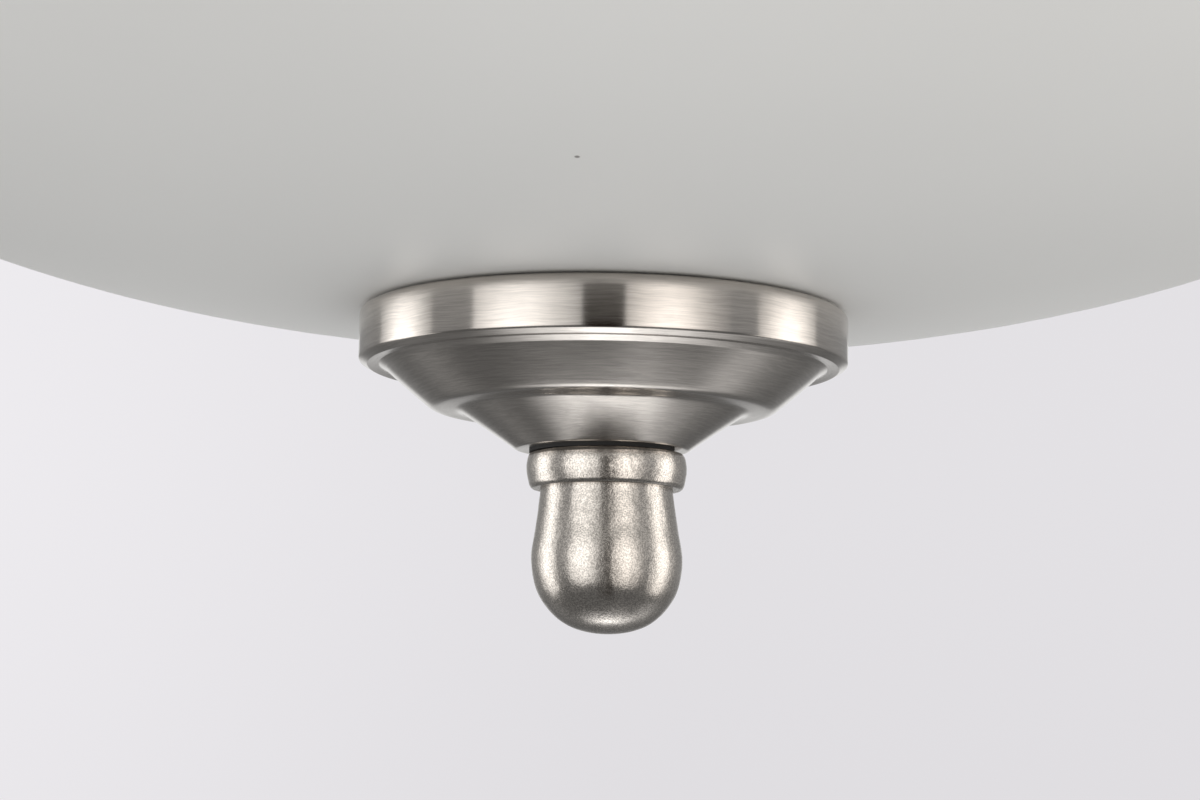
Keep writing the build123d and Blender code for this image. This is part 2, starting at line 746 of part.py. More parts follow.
# Bulb diffuser: a round opal shell that stands on the housing
with BuildPart() as bulb_diffuser:
    centre = housing_length + (bulb_radius**2 - diffuser_seat**2) ** 0.5
    inner_radius = bulb_radius - diffuser_wall
    inner_seat = (inner_radius**2 - (centre - housing_length) ** 2) ** 0.5
    half_root = 0.5**0.5
    with BuildSketch(lamp_plane):
        with BuildLine():
            ThreePointArc(
                (housing_length, diffuser_seat),
                (centre + bulb_radius * half_root, bulb_radius * half_root),
                (centre + bulb_radius, 0),
            )
            Line((centre + bulb_radius, 0), (centre + inner_radius, 0))
            ThreePointArc(
                (centre + inner_radius, 0),
                (centre + inner_radius * half_root, inner_radius * half_root),
                (housing_length, inner_seat),
            )
            Line((housing_length, inner_seat), (housing_length, diffuser_seat))
        make_face()
    revolve(axis=lamp_axis)
save_pair(bulb_diffuser.part, "bulb_diffuser")

# Glass bowl: one wall between two outlines, with a hole at its foot for the threaded tube
foot_angle = asin((bowl_hole_radius / 2 / bowl_radius) ** (bowl_roundness / 2))
outline_angles = [
    foot_angle + (pi / 2 - foot_angle) * step / (outline_steps - 1) for step in range(outline_steps)
]
with BuildPart() as glass_bowl:
    with BuildSketch(Plane.XZ):
        with BuildLine():
            outer_line = Spline(*[bowl_point(angle) for angle in outline_angles], tangents=((1, 0), (0, 1)))
            inner_points = [bowl_point(angle, bowl_wall) for angle in outline_angles]
            inner_line = Spline(*inner_points, tangents=((1, 0), (0, 1)))
            Line(outer_line @ 1, inner_line @ 1)
            Line(outer_line @ 0, inner_line @ 0)
        make_face()
    revolve(axis=Axis.Z)
    fillet(glass_bowl.edges().group_by(Axis.Z)[-1], bowl_edge_radius)
    with BuildSketch(Plane.XY.offset(bowl_bottom)):
        Circle(bowl_hole_radius)
    extrude(amount=2 * bowl_wall, both=True, mode=Mode.SUBTRACT)
glass_bowl.part.label = "glass_bowl"
export_step(glass_bowl.part, "parts/glass_bowl.step")

# Grommet: a rubber sleeve with two flanges, which keeps the glass off the tube
with BuildPart() as bowl_grommet:
    sleeve_inner = tube_radius + 2 * running_gap
    sleeve_outer = sleeve_inner + grommet_wall
    flange_low = bowl_bottom - seat_gap
    flange_high = bowl_height(grommet_flange_radius) + bowl_wall + seat_gap
    with BuildSketch(Plane.XZ):
        with BuildLine():
            Polyline(
                (sleeve_inner, flange_low - grommet_flange),
                (grommet_flange_radius, flange_low - grommet_flange),
                (grommet_flange_radius, flange_low),
                (sleeve_outer, flange_low),
                (sleeve_outer, flange_high),
                (grommet_flange_radius, flange_high),
                (grommet_flange_radius, flange_high + grommet_flange),
                (sleeve_inner, flange_high + grommet_flange),
                close=True,
            )
        make_face()
    revolve(axis=Axis.Z)
bowl_grommet.part.label = "bowl_grommet"
export_step(bowl_grommet.part, "parts/bowl_grommet.step")

# Stepped cap: one spun sheet, from the curled edge under the glass down two cones to the hub
bead_top = cap_top - cap_band - cap_ledge_drop
cap_path = [
    (cap_radius - cap_curl, cap_top),
    (cap_radius, cap_top),
    (cap_radius, cap_top - cap_band),
    (cap_ledge_radius, bead_top),
    (cap_ledge_radius - cap_bead_run, bead_top - cap_bead_step),
    (cap_first_radius, cap_top - cap_first_drop),
    (cap_second_radius, cap_top - cap_second_drop),
    (cap_third_radius, cap_top - cap_third_drop),
    (cap_hub_radius, hub_bottom),
    (tube_radius + 2 * running_gap, hub_bottom),
]
cap_bends = [cap_edge_bend, cap_band_bend, cap_bead_bend, cap_bead_bend]
cap_bends += [cap_first_bend, cap_second_bend, cap_third_bend, cap_hub_bend]
with BuildPart() as stepped_cap:
    with BuildSketch(Plane.XZ):
        with BuildLine():
            FilletPolyline(*cap_path, radius=cap_bends)
            cap_inside = far_side(cap_path, cap_sheet)
            FilletPolyline(*cap_inside, radius=far_bends(cap_path, cap_bends, cap_sheet))
            Line(cap_path[0], cap_inside[0])
            Line(cap_path[-1], cap_inside[-1])
        make_face()
    revolve(axis=Axis.Z)
stepped_cap.part.label = "stepped_cap"
export_step(stepped_cap.part, "parts/stepped_cap.step")

# Hub washer: black fibre between the cap and the finial
with BuildPart() as hub_washer:
    with BuildSketch(Plane.XY.offset(collar_top)):
        Circle(hub_washer_radius)
        Circle(tube_radius + 2 * running_gap, mode=Mode.SUBTRACT)
    extrude(amount=hub_washer_height)
hub_washer.part.label = "hub_washer"
export_step(hub_washer.part, "parts/hub_washer.step")

# Finial: a cast knob with a barrel-shaped collar, a waist, a flared body and a blind tapped bore
with BuildPart() as finial:
    collar_bottom = collar_top - collar_height
    waist = collar_bottom - neck_length
    widest = collar_top - finial_bulge_drop
    with BuildSketch(Plane.XZ):
        with BuildLine():
            Line((0, collar_top), (collar_edge_radius, collar_top))
            ThreePointArc(
                (collar_edge_radius, collar_top),
                (collar_radius, collar_top - collar_bulge_drop),
                (collar_foot_radius, collar_bottom),
            )
            Polyline((collar_foot_radius, collar_bottom), (neck_radius, collar_bottom), (neck_radius, waist))
            Spline(
                (neck_radius, waist),
                (flare_radius, collar_top - flare_drop),
                (finial_radius, widest),
                (knob_shoulder_radius, collar_top - knob_shoulder_drop),
                (knob_toe_radius, collar_top - knob_toe_drop),
                (0, collar_top - finial_height),
                tangents=((tan(radians(flare_angle)), -1), (-1, 0)),
            )
            Line((0, collar_top - finial_height), (0, collar_top))
        make_face()
    revolve(axis=Axis.Z)
    collar_edges = finial.edges().filter_by(GeomType.CIRCLE).filter_by(
        lambda edge: edge.radius > neck_radius + collar_round
    )
    fillet(collar_edges, collar_round)
    with BuildSketch(Plane.XY.offset(collar_top)):
        Circle(tube_radius + snug_clearance)
    extrude(amount=-finial_bore_depth, mode=Mode.SUBTRACT)
    bore_mouth = finial.edges().filter_by(GeomType.CIRCLE).group_by(Axis.Z)[-1].sort_by(SortBy.RADIUS)[0]
    chamfer(bore_mouth, nut_chamfer)
finial.part.label = "finial"
export_step(finial.part, "parts/finial.step")
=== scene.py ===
"""Flush mount ceiling light: its finishes, soft parts, threads, spun cap and cast finial, and the studio.

Metres, +Z up, with the ceiling at z = 0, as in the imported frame. Drawn sizes are in millimetres, and mm()
turns them into metres. The first lamp holder and bulb are the left ones, and the right ones are turned half
a turn.
"""

import logging
import math
from collections.abc import Callable, Sequence
from dataclasses import dataclass
from enum import Enum
from itertools import product

import bpy
from mathutils import Matrix, Vector, noise


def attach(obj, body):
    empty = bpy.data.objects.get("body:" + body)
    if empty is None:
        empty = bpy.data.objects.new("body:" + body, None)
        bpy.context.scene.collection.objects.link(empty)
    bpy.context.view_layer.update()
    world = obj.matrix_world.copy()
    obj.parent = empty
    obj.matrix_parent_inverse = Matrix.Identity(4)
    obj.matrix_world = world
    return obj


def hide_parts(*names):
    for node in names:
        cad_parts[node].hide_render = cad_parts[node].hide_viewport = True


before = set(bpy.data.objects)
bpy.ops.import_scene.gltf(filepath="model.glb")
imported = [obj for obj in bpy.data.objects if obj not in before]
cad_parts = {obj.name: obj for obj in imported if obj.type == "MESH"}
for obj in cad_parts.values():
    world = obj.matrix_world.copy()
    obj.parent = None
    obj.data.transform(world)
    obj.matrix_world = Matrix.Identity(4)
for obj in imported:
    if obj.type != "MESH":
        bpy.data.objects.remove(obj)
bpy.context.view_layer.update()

LOG = logging.getLogger("ceiling_light")
MILLIMETRE = 0.001  # in metres
METRE = 1000.0  # in millimetres

Point = tuple[float, float]
Colour = tuple[float, float, float]
Wave = Callable[[float, float, float], float]


class Side(Enum):
    """The two lamp holders and their bulbs, each with its name's ending."""

    LEFT = "left"
    RIGHT = "right"

    @property
    def way(self) -> int:
        """+1 where the holder opens towards +X, and -1 where it opens towards -X."""
        return 1 if self is Side.LEFT else -1


def mm(length: float) -> float:
    """Millimetres to metres."""
    return length * MILLIMETRE


# Meshes turned round an axis


@dataclass(frozen=True)
class Lathe:
    """Turns an outline of (radius, distance along the axis) points, in millimetres, round an axis."""

    segments: int
    ring: bool = True  # the outline closes on itself; otherwise it starts and ends on the axis

    def turn(
        self, name: str, outline: Sequence[Point], place: Matrix | None = None, wave: Wave | None = None
    ) -> bpy.types.Object:
        """Makes the turned mesh.

        Args:
            name: name of the new piece.
            outline: points of the section, as (radius, along).
            place: carries the lathe's own Z axis to the piece's place in the frame.
            wave: what to add to the radius, from the angle, the radius and the distance along.

        Returns:
            The new object, at the origin, with its place in its mesh.
        """
        place = place or Matrix.Identity(4)
        verts: list[Vector] = []
        rows: list[list[int]] = []
        for radius, along in outline:
            row = []
            for step in range(self.segments if radius > 0 else 1):
                angle = math.tau * step / self.segments
                reach = radius + (wave(angle, radius, along) if wave and radius > 0 else 0.0)
                point = Vector((reach * math.cos(angle), reach * math.sin(angle), along)) * MILLIMETRE
                row.append(len(verts))
                verts.append(place @ point)
            rows.append(row)
        pairs = list(zip(rows, rows[1:]))
        if self.ring:
            pairs.append((rows[-1], rows[0]))
        faces = []
        for low, high in pairs:
            for step in range(self.segments):
                after = (step + 1) % self.segments
                lower = [low[step % len(low)], low[after % len(low)]]
                upper = [high[after % len(high)], high[step % len(high)]]
                faces.append(list(dict.fromkeys(lower + upper)))
        return new_piece(name, verts, faces)


def new_piece(name: str, verts: Sequence[Vector], faces: Sequence[Sequence[int]]) -> bpy.types.Object:
    """Makes a smooth-shaded mesh object with its normals outward.

    Args:
        name: name of the new piece.
        verts: its points, in metres.
        faces: its faces, as lists of point numbers.

    Returns:
        The new object, linked to the scene.
    """
    mesh = bpy.data.meshes.new(name)
    mesh.from_pydata(verts, [], faces)
    mesh.validate()
    piece = bpy.data.objects.new(name, mesh)
    bpy.context.scene.collection.objects.link(piece)
    bpy.context.view_layer.objects.active = piece
    piece.select_set(True)
    bpy.ops.object.mode_set(mode="EDIT")
    bpy.ops.mesh.select_all(action="SELECT")
    bpy.ops.mesh.normals_make_consistent(inside=False)
    bpy.ops.object.mode_set(mode="OBJECT")
    piece.select_set(False)
    mesh.shade_smooth()
    return piece


def crease(piece: bpy.types.Object, degrees: float) -> bpy.types.Object:
    """Keeps the edges sharp that turn by more than so many degrees, and returns the piece."""
    piece.data.set_sharp_from_angle(angle=math.radians(degrees))
    return piece


def steps(start: float, end: float, size: float) -> list[float]:
    """Evenly spaced numbers from start to end, both kept, about a size apart."""
    count = max(1, round(abs(end - start) / size))
    return [start + (end - start) * step / count for step in range(count + 1)]


def rounded(outline: Sequence[Point], radii: Sequence[float], fineness: int = 5) -> list[Point]:
    """Rounds the inner corners of an open outline with arcs.

    Args:
        outline: corner points.
        radii: one radius for each corner but the first and the last.
        fineness: steps in each arc.

    Returns:
        The outline with its corners as arcs.
    """
    made = [outline[0]]
    for before, corner, after, radius in zip(outline, outline[1:], outline[2:], radii):
        here = Vector(corner)
        back = (Vector(before) - here).normalized()
        on = (Vector(after) - here).normalized()
        half = back.angle(on) / 2
        reach = radius / math.tan(half)
        centre = here + (back + on).normalized() * radius / math.sin(half)
        first = here + back * reach - centre
        last = here + on * reach - centre
        for step in range(fineness + 1):
            made.append(tuple(centre + first.slerp(last, step / fineness) * radius))
    made.append(outline[-1])
    return made


def shifted(outline: Sequence[Point], thickness: float) -> list[Point]:
    """The other face of a sheet: an open outline moved to its left by the sheet's thickness.

    Args:
        outline: points of (radius, drop), from the rim inwards.
        thickness: the sheet's thickness.

    Returns:
        The moved outline.
    """
    made = []
    for before, here, after in zip([outline[0], *outline], outline, [*outline[1:], outline[-1]]):
        way = (Vector(after) - Vector(before)).normalized()
        made.append((here[0] - way.y * thickness, here[1] + way.x * thickness))
    return made


@dataclass(frozen=True)
class Thread:
    """A screw thread, cut or rolled, as a wave on a turned piece's radius."""

    pitch: float
    depth: float
    start: float
    end: float
    rolled: bool = False  # a lamp's round thread; otherwise a machine thread's V

    def height(self, angle: float, _radius: float, along: float) -> float:
        """What the thread adds to the radius, from 0 at its crest to -depth at its root."""
        turn = (along / self.pitch - angle / math.tau) % 1.0
        form = 0.5 - 0.5 * math.cos(math.tau * turn) if self.rolled else abs(2 * turn - 1)
        run = min(along - self.start, self.end - along) / self.pitch
        return -self.depth * form * min(max(run, 0.0), 1.0)


# Finishes

Socket = bpy.types.NodeSocket
Feed = float | Socket | Sequence[float]


class Sketch:
    """A material's node tree, with a short method for each kind of node that the finishes use."""

    def __init__(self, tree: bpy.types.NodeTree, output: str = "ShaderNodeOutputMaterial") -> None:
        """Clears the tree and gives it an output of the kind named."""
        self.tree = tree
        tree.nodes.clear()
        self.output = tree.nodes.new(output)

    @classmethod
    def of_material(cls, name: str) -> tuple["Sketch", bpy.types.Material]:
        """Makes a material by this name, and returns the sketch of its tree with it."""
        material = bpy.data.materials.new(name)
        material.use_nodes = True
        return cls(material.node_tree), material

    def add(
        self, kind: str, settings: dict[str, object] | None = None, feeds: dict[str, Feed] | None = None
    ) -> bpy.types.Node:
        """Adds a node.

        Args:
            kind: the node's type, without its ShaderNode prefix.
            settings: its own properties.
            feeds: what goes into its sockets, by name: a plain value, or another node's output.

        Returns:
            The node.
        """
        node = self.tree.nodes.new("ShaderNode" + kind)
        for name, value in (settings or {}).items():
            setattr(node, name, value)
        for name, value in (feeds or {}).items():
            self.feed(node.inputs[name], value)
        return node

    def feed(self, socket: Socket, value: Feed) -> None:
        """Links a socket to another node's output, or sets it to a plain value."""
        if isinstance(value, Socket):
            self.tree.links.new(value, socket)
        elif isinstance(value, (int, float)):
            socket.default_value = value
        else:
            wanted = len(socket.default_value)
            socket.default_value = (*value, 1.0)[:wanted]

    def sum(self, operation: str, *values: Feed) -> Socket:
        """A Math node's result."""
        node = self.add("Math", {"operation": operation})
        for socket, value in zip(node.inputs, values):
            self.feed(socket, value)
        return node.outputs[0]

    def aim(self, operation: str, *values: Feed, out: str = "Vector") -> Socket:
        """A Vector Math node's result."""
        node = self.add("VectorMath", {"operation": operation})
        for socket, value in zip(node.inputs, values):
            self.feed(socket, value)
        return node.outputs[out]

    def place(self) -> Socket:
        """The point's place in the frame, in metres."""
        return self.add("TexCoord").outputs["Object"]

    def noise(self, place: Socket, scale: float, detail: float = 2.0, w: Feed | None = None) -> Socket:
        """Noise from 0 to 1, with so many features in a metre, and in four dimensions where w is given."""
        feeds: dict[str, Feed] = {"Vector": place, "Scale": scale, "Detail": detail}
        if w is not None:
            feeds["W"] = w
        return self.add("TexNoise", {"noise_dimensions": "3D" if w is None else "4D"}, feeds).outputs["Fac"]

    def cells(self, place: Socket, scale: float) -> Socket:
        """Distance from the nearest of scattered points, with so many points in a metre."""
        return self.add("TexVoronoi", None, {"Vector": place, "Scale": scale}).outputs["Distance"]

    def ease(self, value: Feed, low: float, high: float, to_low: float = 0.0, to_high: float = 1.0) -> Socket:
        """Brings a value from one range to another with soft ends."""
        feeds = {"Value": value, "From Min": low, "From Max": high, "To Min": to_low, "To Max": to_high}
        return self.add("MapRange", {"interpolation_type": "SMOOTHSTEP"}, feeds).outputs["Result"]

    def mix(self, share: Feed, first: Feed, second: Feed) -> Socket:
        """Mixes two colours."""
        node = self.add("Mix", {"data_type": "RGBA"})
        self.feed(node.inputs["Factor"], share)
        self.feed(node.inputs[6], first)
        self.feed(node.inputs[7], second)
        return node.outputs[2]

    def tones(self, value: Feed, over: Point, colour: Colour, first: float, second: float) -> Socket:
        """Goes from one tone of a colour to another as a value goes over a range."""
        return self.mix(self.ease(value, *over), tone(colour, first), tone(colour, second))

    def about(self, value: Socket, middle: float, spread: float) -> Socket:
        """Makes noise from 0 to 1 stray about a middle, by half the spread to each side."""
        return self.sum("MULTIPLY_ADD", value, spread, middle - spread / 2)

    def scaled(self, vector: Feed, factor: Feed) -> Socket:
        """A vector or a colour times a number."""
        product_of_both = self.aim("SCALE", vector)
        self.feed(product_of_both.node.inputs["Scale"], factor)
        return product_of_both

    def split(self, vector: Socket) -> dict[str, Socket]:
        """A vector's parts, by the names X, Y and Z."""
        node = self.add("SeparateXYZ", None, {"Vector": vector})
        return {part: node.outputs[part] for part in "XYZ"}

    def bump(self, height: Socket, depth: float) -> Socket:
        """A surface normal that follows a height from 0 to 1, which is so many millimetres deep."""
        feeds = {"Height": height, "Distance": mm(depth), "Strength": 1.0}
        return self.add("Bump", None, feeds).outputs["Normal"]

    def round_axis(self) -> tuple[Socket, Socket, Socket]:
        """Where a point lies round the light's own upright axis.

        Returns:
            The unit direction out from the axis, the height, and the distance out from the axis.
        """
        place = self.place()
        across = self.aim("MULTIPLY", place, (1.0, 1.0, 0.0))
        return self.aim("NORMALIZE", across), self.split(place)["Z"], self.aim("LENGTH", across, out="Value")

    def finish(self, shader: Socket) -> None:
        """Sends a shader to the output."""
        self.tree.links.new(shader, self.output.inputs["Surface"])


class Finish:
    """What every finish shares: a material with one Principled shader."""

    def feeds(self, sketch: Sketch) -> dict[str, Feed]:
        """What goes into the shader's sockets, by name; each finish draws its own."""
        raise NotImplementedError

    def make(self, name: str) -> bpy.types.Material:
        """Makes the material.

        Args:
            name: its name.

        Returns:
            The material.
        """
        sketch, material = Sketch.of_material(name)
        sketch.finish(sketch.add("BsdfPrincipled", None, self.feeds(sketch)).outputs["BSDF"])
        return material


@dataclass(frozen=True)
class Brushed(Finish):
    """Metal brushed, spun or drawn, with fine short streaks round the light's axis."""

    colour: Colour = (0.66, 0.62, 0.58)
    roughness: float = 0.17
    stretch: float = 0.88  # how much wider a highlight is across the streaks
    streak_length: float = 2.6  # millimetres
    streak_width: float = 0.085
    streak_depth: float = 0.0016
    coarse_length: float = 2.2  # of the coarse streaks, times the fine ones'
    coarse_width: float = 2.6
    wander: float = 0.8  # how far a streak strays along the axis
    strays: float = 0.45  # how often it does, in a streak's length
    contrast: float = 0.2  # between the darkest and the lightest streaks
    streak_roughness: float = 0.06  # how much the roughness varies from streak to streak
    patchiness: float = 0.10  # and from one rubbed patch to another
    patches: float = 0.55  # rubbed patches in a streak's length
    patch_tone: float = 0.95
    radius: float = 28.0  # millimetres from the axis to the surface that shows most

    def streaks(self, sketch: Sketch, length: float, width: float) -> Socket:
        """Draws streaks round the axis.

        Args:
            sketch: the material's sketch.
            length: a streak's length round the axis, in millimetres.
            width: its width, in millimetres.

        Returns:
            Noise from 0 to 1.
        """
        out, height, away = sketch.round_axis()
        stray = sketch.noise(sketch.place(), self.strays / mm(self.streak_length), 1.0)
        height = sketch.sum("MULTIPLY_ADD", stray, mm(self.wander), height)
        lift = sketch.add("CombineXYZ", None, {"Z": sketch.sum("DIVIDE", height, mm(width))})
        where = sketch.aim("ADD", sketch.scaled(out, self.radius / length), lift.outputs[0])
        return sketch.noise(where, 1.0, 2.0, sketch.sum("DIVIDE", away, mm(width)))

    def feeds(self, sketch: Sketch) -> dict[str, Feed]:
        """Draws fine and coarse streaks, and rubbed patches.

        Args:
            sketch: the material's sketch.

        Returns:
            What goes into the shader's sockets.
        """
        fine = self.streaks(sketch, self.streak_length, self.streak_width)
        coarse = self.streaks(
            sketch, self.coarse_length * self.streak_length, self.coarse_width * self.streak_width
        )
        both = sketch.sum("MULTIPLY_ADD", coarse, 0.5, sketch.sum("MULTIPLY", fine, 0.5))
        rubbed = sketch.noise(sketch.place(), self.patches / mm(self.streak_length), 3.0)
        warm = sketch.tones(rubbed, (0.35, 0.65), self.colour, 1.0, self.patch_tone)
        light = sketch.ease(both, 0.34, 0.66, 1 - self.contrast, 1.0)
        rough = sketch.about(rubbed, self.roughness, self.patchiness)
        rough = sketch.sum("SUBTRACT", rough, self.streak_roughness / 2)
        tangent = sketch.add("Tangent", {"direction_type": "RADIAL", "axis": "Z"})
        return {
            "Base Color": sketch.scaled(warm, light),
            "Metallic": 1.0,
            "Roughness": sketch.sum("MULTIPLY_ADD", both, self.streak_roughness, rough),
            "Anisotropic": self.stretch,
            "Anisotropic Rotation": 0.25,
            "Tangent": tangent.outputs["Tangent"],
            "Normal": sketch.bump(both, self.streak_depth),
        }


@dataclass(frozen=True)
class Cast(Finish):
    """Plated metal over a casting, with a fine pitted grain, and painted shade in the grain and the pits."""

    colour: Colour = (0.66, 0.62, 0.575)
    roughness: float = 0.24
    roughness_spread: float = 0.12
    grain: float = 0.21  # millimetres
    grain_depth: float = 0.018
    coarse_grain: float = 3.2  # times the fine one
    coarse_height: float = 0.8
    pit_spacing: float = 2.4  # times the grain
    pit_share: float = 0.20
    pit_height: float = 0.6
    # painted shade in the pits: how dark their colour is made
    pit_shade: float = 0.45

    def feeds(self, sketch: Sketch) -> dict[str, Feed]:
        """Draws the fine and the coarse grain, and the pits, with painted light and shade of the grain and
        painted shade in the pits.

        Args:
            sketch: the material's sketch.

        Returns:
            What goes into the shader's sockets.
        """
        place = sketch.place()
        coarse = sketch.noise(place, 1 / mm(self.coarse_grain * self.grain), 2.0)
        fine = sketch.noise(place, 1 / mm(self.grain), 3.0)
        pits = sketch.ease(sketch.cells(place, 1 / mm(self.pit_spacing * self.grain)), self.pit_share, 0.0)
        rise = sketch.sum("MULTIPLY_ADD", coarse, self.coarse_height, fine)
        height = sketch.sum("SUBTRACT", rise, sketch.sum("MULTIPLY", pits, self.pit_height))
        # painted light and shade: the fine grain's colour made lighter and darker, standing in for its
        # micro-shadows
        grain_shade = sketch.tones(fine, (0.38, 0.62), self.colour, 0.70, 1.10)
        return {
            # the pits darkened with painted shade
            "Base Color": sketch.mix(pits, grain_shade, tone(self.colour, self.pit_shade)),
            "Metallic": 1.0,
            "Roughness": sketch.about(coarse, self.roughness, self.roughness_spread),
            "Normal": sketch.bump(height, self.grain_depth),
        }


@dataclass(frozen=True)
class Opal(Finish):
    """Satin opal glass or plastic: an even white body with a soft skin and a few tiny seeds."""

    colour: Colour = (0.80, 0.80, 0.785)
    roughness: float = 0.42
    roughness_spread: float = 0.08
    seeds: float = 1.0
    seed_colour: Colour = (0.10, 0.09, 0.08)
    seed_cells: float = 42.0  # in a metre, each with one seed at the most
    ripple: float = 0.02  # millimetres

    def feeds(self, sketch: Sketch) -> dict[str, Feed]:
        """Draws the body's faint clouds, the satin skin and the seeds.

        Args:
            sketch: the material's sketch.

        Returns:
            What goes into the shader's sockets.
        """
        place = sketch.place()
        cloud = sketch.noise(place, 14.0, 2.0)
        satin = sketch.noise(place, 2600.0, 2.0)
        wander = sketch.noise(place, 60.0, 1.0)
        body = sketch.tones(cloud, (0.3, 0.7), self.colour, 0.975, 1.0)
        near = sketch.cells(place, self.seed_cells)
        seed = sketch.sum("MULTIPLY", sketch.ease(near, 0.016, 0.008), self.seeds)
        return {
            "Base Color": sketch.mix(sketch.sum("MULTIPLY", seed, 0.75), body, self.seed_colour),
            "Roughness": sketch.about(satin, self.roughness, self.roughness_spread),
            "IOR": 1.47,
            "Normal": sketch.bump(sketch.sum("MULTIPLY_ADD", satin, 0.12, wander), self.ripple),
        }


@dataclass(frozen=True)
class Moulded(Finish):
    """Moulded, glazed and plated pieces and rubber: an even body with a mottle and a fine skin."""

    colour: Colour
    roughness: float = 0.5
    roughness_spread: float = 0.12
    metallic: float = 0.0
    mottle: float = 0.08
    mottle_size: float = 3.0  # millimetres
    grain: float = 0.25
    grain_depth: float = 0.004
    coat: float = 0.0
    # painted shade in the pores of an open foam
    pores: float = 0.0  # how dark the pores of an open foam are
    pore_spacing: float = 2.5  # times the grain
    pore_height: float = 2.0

    def feeds(self, sketch: Sketch) -> dict[str, Feed]:
        """Draws the mottle and the skin, and the pores with painted shade in them where the piece has them.

        Args:
            sketch: the material's sketch.

        Returns:
            What goes into the shader's sockets.
        """
        place = sketch.place()
        cloud = sketch.noise(place, 1 / mm(self.mottle_size), 3.0)
        height = sketch.noise(place, 1 / mm(self.grain), 3.0)
        rough = sketch.about(height, self.roughness, self.roughness_spread)
        body = sketch.tones(cloud, (0.3, 0.7), self.colour, 1 - self.mottle, 1 + self.mottle / 2)
        if self.pores:
            # painted shade: the pores' colour darkened, with the same mask sinking them in the bump
            holes = sketch.ease(sketch.cells(place, 1 / mm(self.pore_spacing * self.grain)), 0.45, 0.15)
            body = sketch.mix(sketch.sum("MULTIPLY", holes, self.pores), body, tone(self.colour, 0.25))
            height = sketch.sum("SUBTRACT", height, sketch.sum("MULTIPLY", holes, self.pore_height))
        return {
            "Base Color": body,
            "Metallic": self.metallic,
            "Roughness": rough,
            "Coat Weight": self.coat,
            "Coat Roughness": 0.06,
            "Normal": sketch.bump(height, self.grain_depth),
        }


@dataclass(frozen=True)
class GlassWool(Finish):
    """Matted glass wool: pale yellow fibres that lie across each other."""

    colour: Colour = (0.86, 0.78, 0.52)
    tuft_colour: Colour = (0.90, 0.86, 0.70)
    fibre: float = 0.35  # millimetres
    fibre_length: float = 7.0
    depth: float = 0.35
    layers: tuple[float, ...] = (0.35, 1.4, 2.45)  # which way each layer's fibres run, in radians
    swirl: float = 2.2  # and how far they stray from it

    def feeds(self, sketch: Sketch) -> dict[str, Feed]:
        """Draws three layers of fibres and the tufts, with painted shade between the fibres.

        Args:
            sketch: the material's sketch.

        Returns:
            What goes into the shader's sockets.
        """
        place = sketch.place()
        swirl = sketch.noise(place, 40.0, 2.0)
        drawn = (self.fibre / self.fibre_length, 1.0, 1.0)
        layers = []
        for turn in self.layers:
            turned = sketch.add("VectorRotate", {"rotation_type": "Z_AXIS"}, {"Vector": place})
            sketch.feed(turned.inputs["Angle"], sketch.sum("MULTIPLY_ADD", swirl, self.swirl, turn))
            fibres = sketch.aim("MULTIPLY", turned.outputs["Vector"], drawn)
            layers.append(sketch.ease(sketch.noise(fibres, 1 / mm(self.fibre), 2.0), 0.42, 0.68))
        height = sketch.sum("ADD", layers[0], sketch.sum("MAXIMUM", layers[1], layers[2]))
        tufts = sketch.noise(place, 110.0, 3.0)
        # painted light and shade: lighter where the fibres lie high, darker in the gaps between them
        pale = sketch.tones(height, (0.2, 1.7), self.colour, 0.72, 1.08)
        return {
            "Base Color": sketch.mix(sketch.ease(tufts, 0.35, 0.7), pale, self.tuft_colour),
            "Roughness": 0.9,
            "Sheen Weight": 0.35,
            "Sheen Roughness": 0.5,
            "Normal": sketch.bump(sketch.sum("MULTIPLY_ADD", tufts, 1.5, height), self.depth),
        }


def tone(colour: Colour, factor: float) -> Colour:
    """A colour made lighter or darker by a factor, kept under 1."""
    return tuple(min(part * factor, 1.0) for part in colour)


def dress(node: str, material: bpy.types.Material) -> None:
    """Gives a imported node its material.

    Args:
        node: the node's name.
        material: its finish.
    """
    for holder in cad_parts[node].material_slots:
        holder.material = material
    LOG.info("%s keeps its packed shape, in %s", node, material.name)


def stand_in(
    piece: bpy.types.Object, body: str, slot: str, material: bpy.types.Material, *nodes: str
) -> None:
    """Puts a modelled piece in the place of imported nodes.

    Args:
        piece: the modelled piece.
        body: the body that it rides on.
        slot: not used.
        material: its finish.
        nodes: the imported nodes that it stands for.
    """
    piece.data.materials.append(material)
    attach(piece, body)
    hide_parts(*nodes)
    LOG.info("%s stands for %s, in %s", piece.name, ", ".join(nodes), material.name)


# Camera and studio


@dataclass(frozen=True)
class PhotoCamera:
    """The camera at the photograph's angle, close under the bowl and looking slightly up."""

    position: tuple[float, float, float] = (0.0, -0.34685, -0.17943)
    pitch: float = 0.1328  # radians up
    yaw: float = -0.001
    roll: float = 0.0146
    focal_pixels: float = 2672.8
    image_width: float = 1200.0
    sensor: float = 36.0

    def build(self) -> None:
        """Makes the camera and sets it as the scene's."""
        data = bpy.data.cameras.new("photo_camera")
        data.sensor_width = self.sensor
        data.lens = self.focal_pixels / self.image_width * self.sensor
        data.clip_start = mm(10)
        camera = bpy.data.objects.new("photo_camera", data)
        bpy.context.scene.collection.objects.link(camera)
        level = math.cos(self.pitch)
        ahead = Vector((math.sin(self.yaw) * level, math.cos(self.yaw) * level, math.sin(self.pitch)))
        flat = Vector((math.cos(self.yaw), -math.sin(self.yaw), 0.0))
        top = flat.cross(ahead)
        right = math.cos(self.roll) * flat + math.sin(self.roll) * top
        up = math.cos(self.roll) * top - math.sin(self.roll) * flat
        turned = Matrix((right, up, -ahead)).transposed().to_4x4()
        camera.matrix_world = Matrix.Translation(self.position) @ turned
        bpy.context.scene.camera = camera


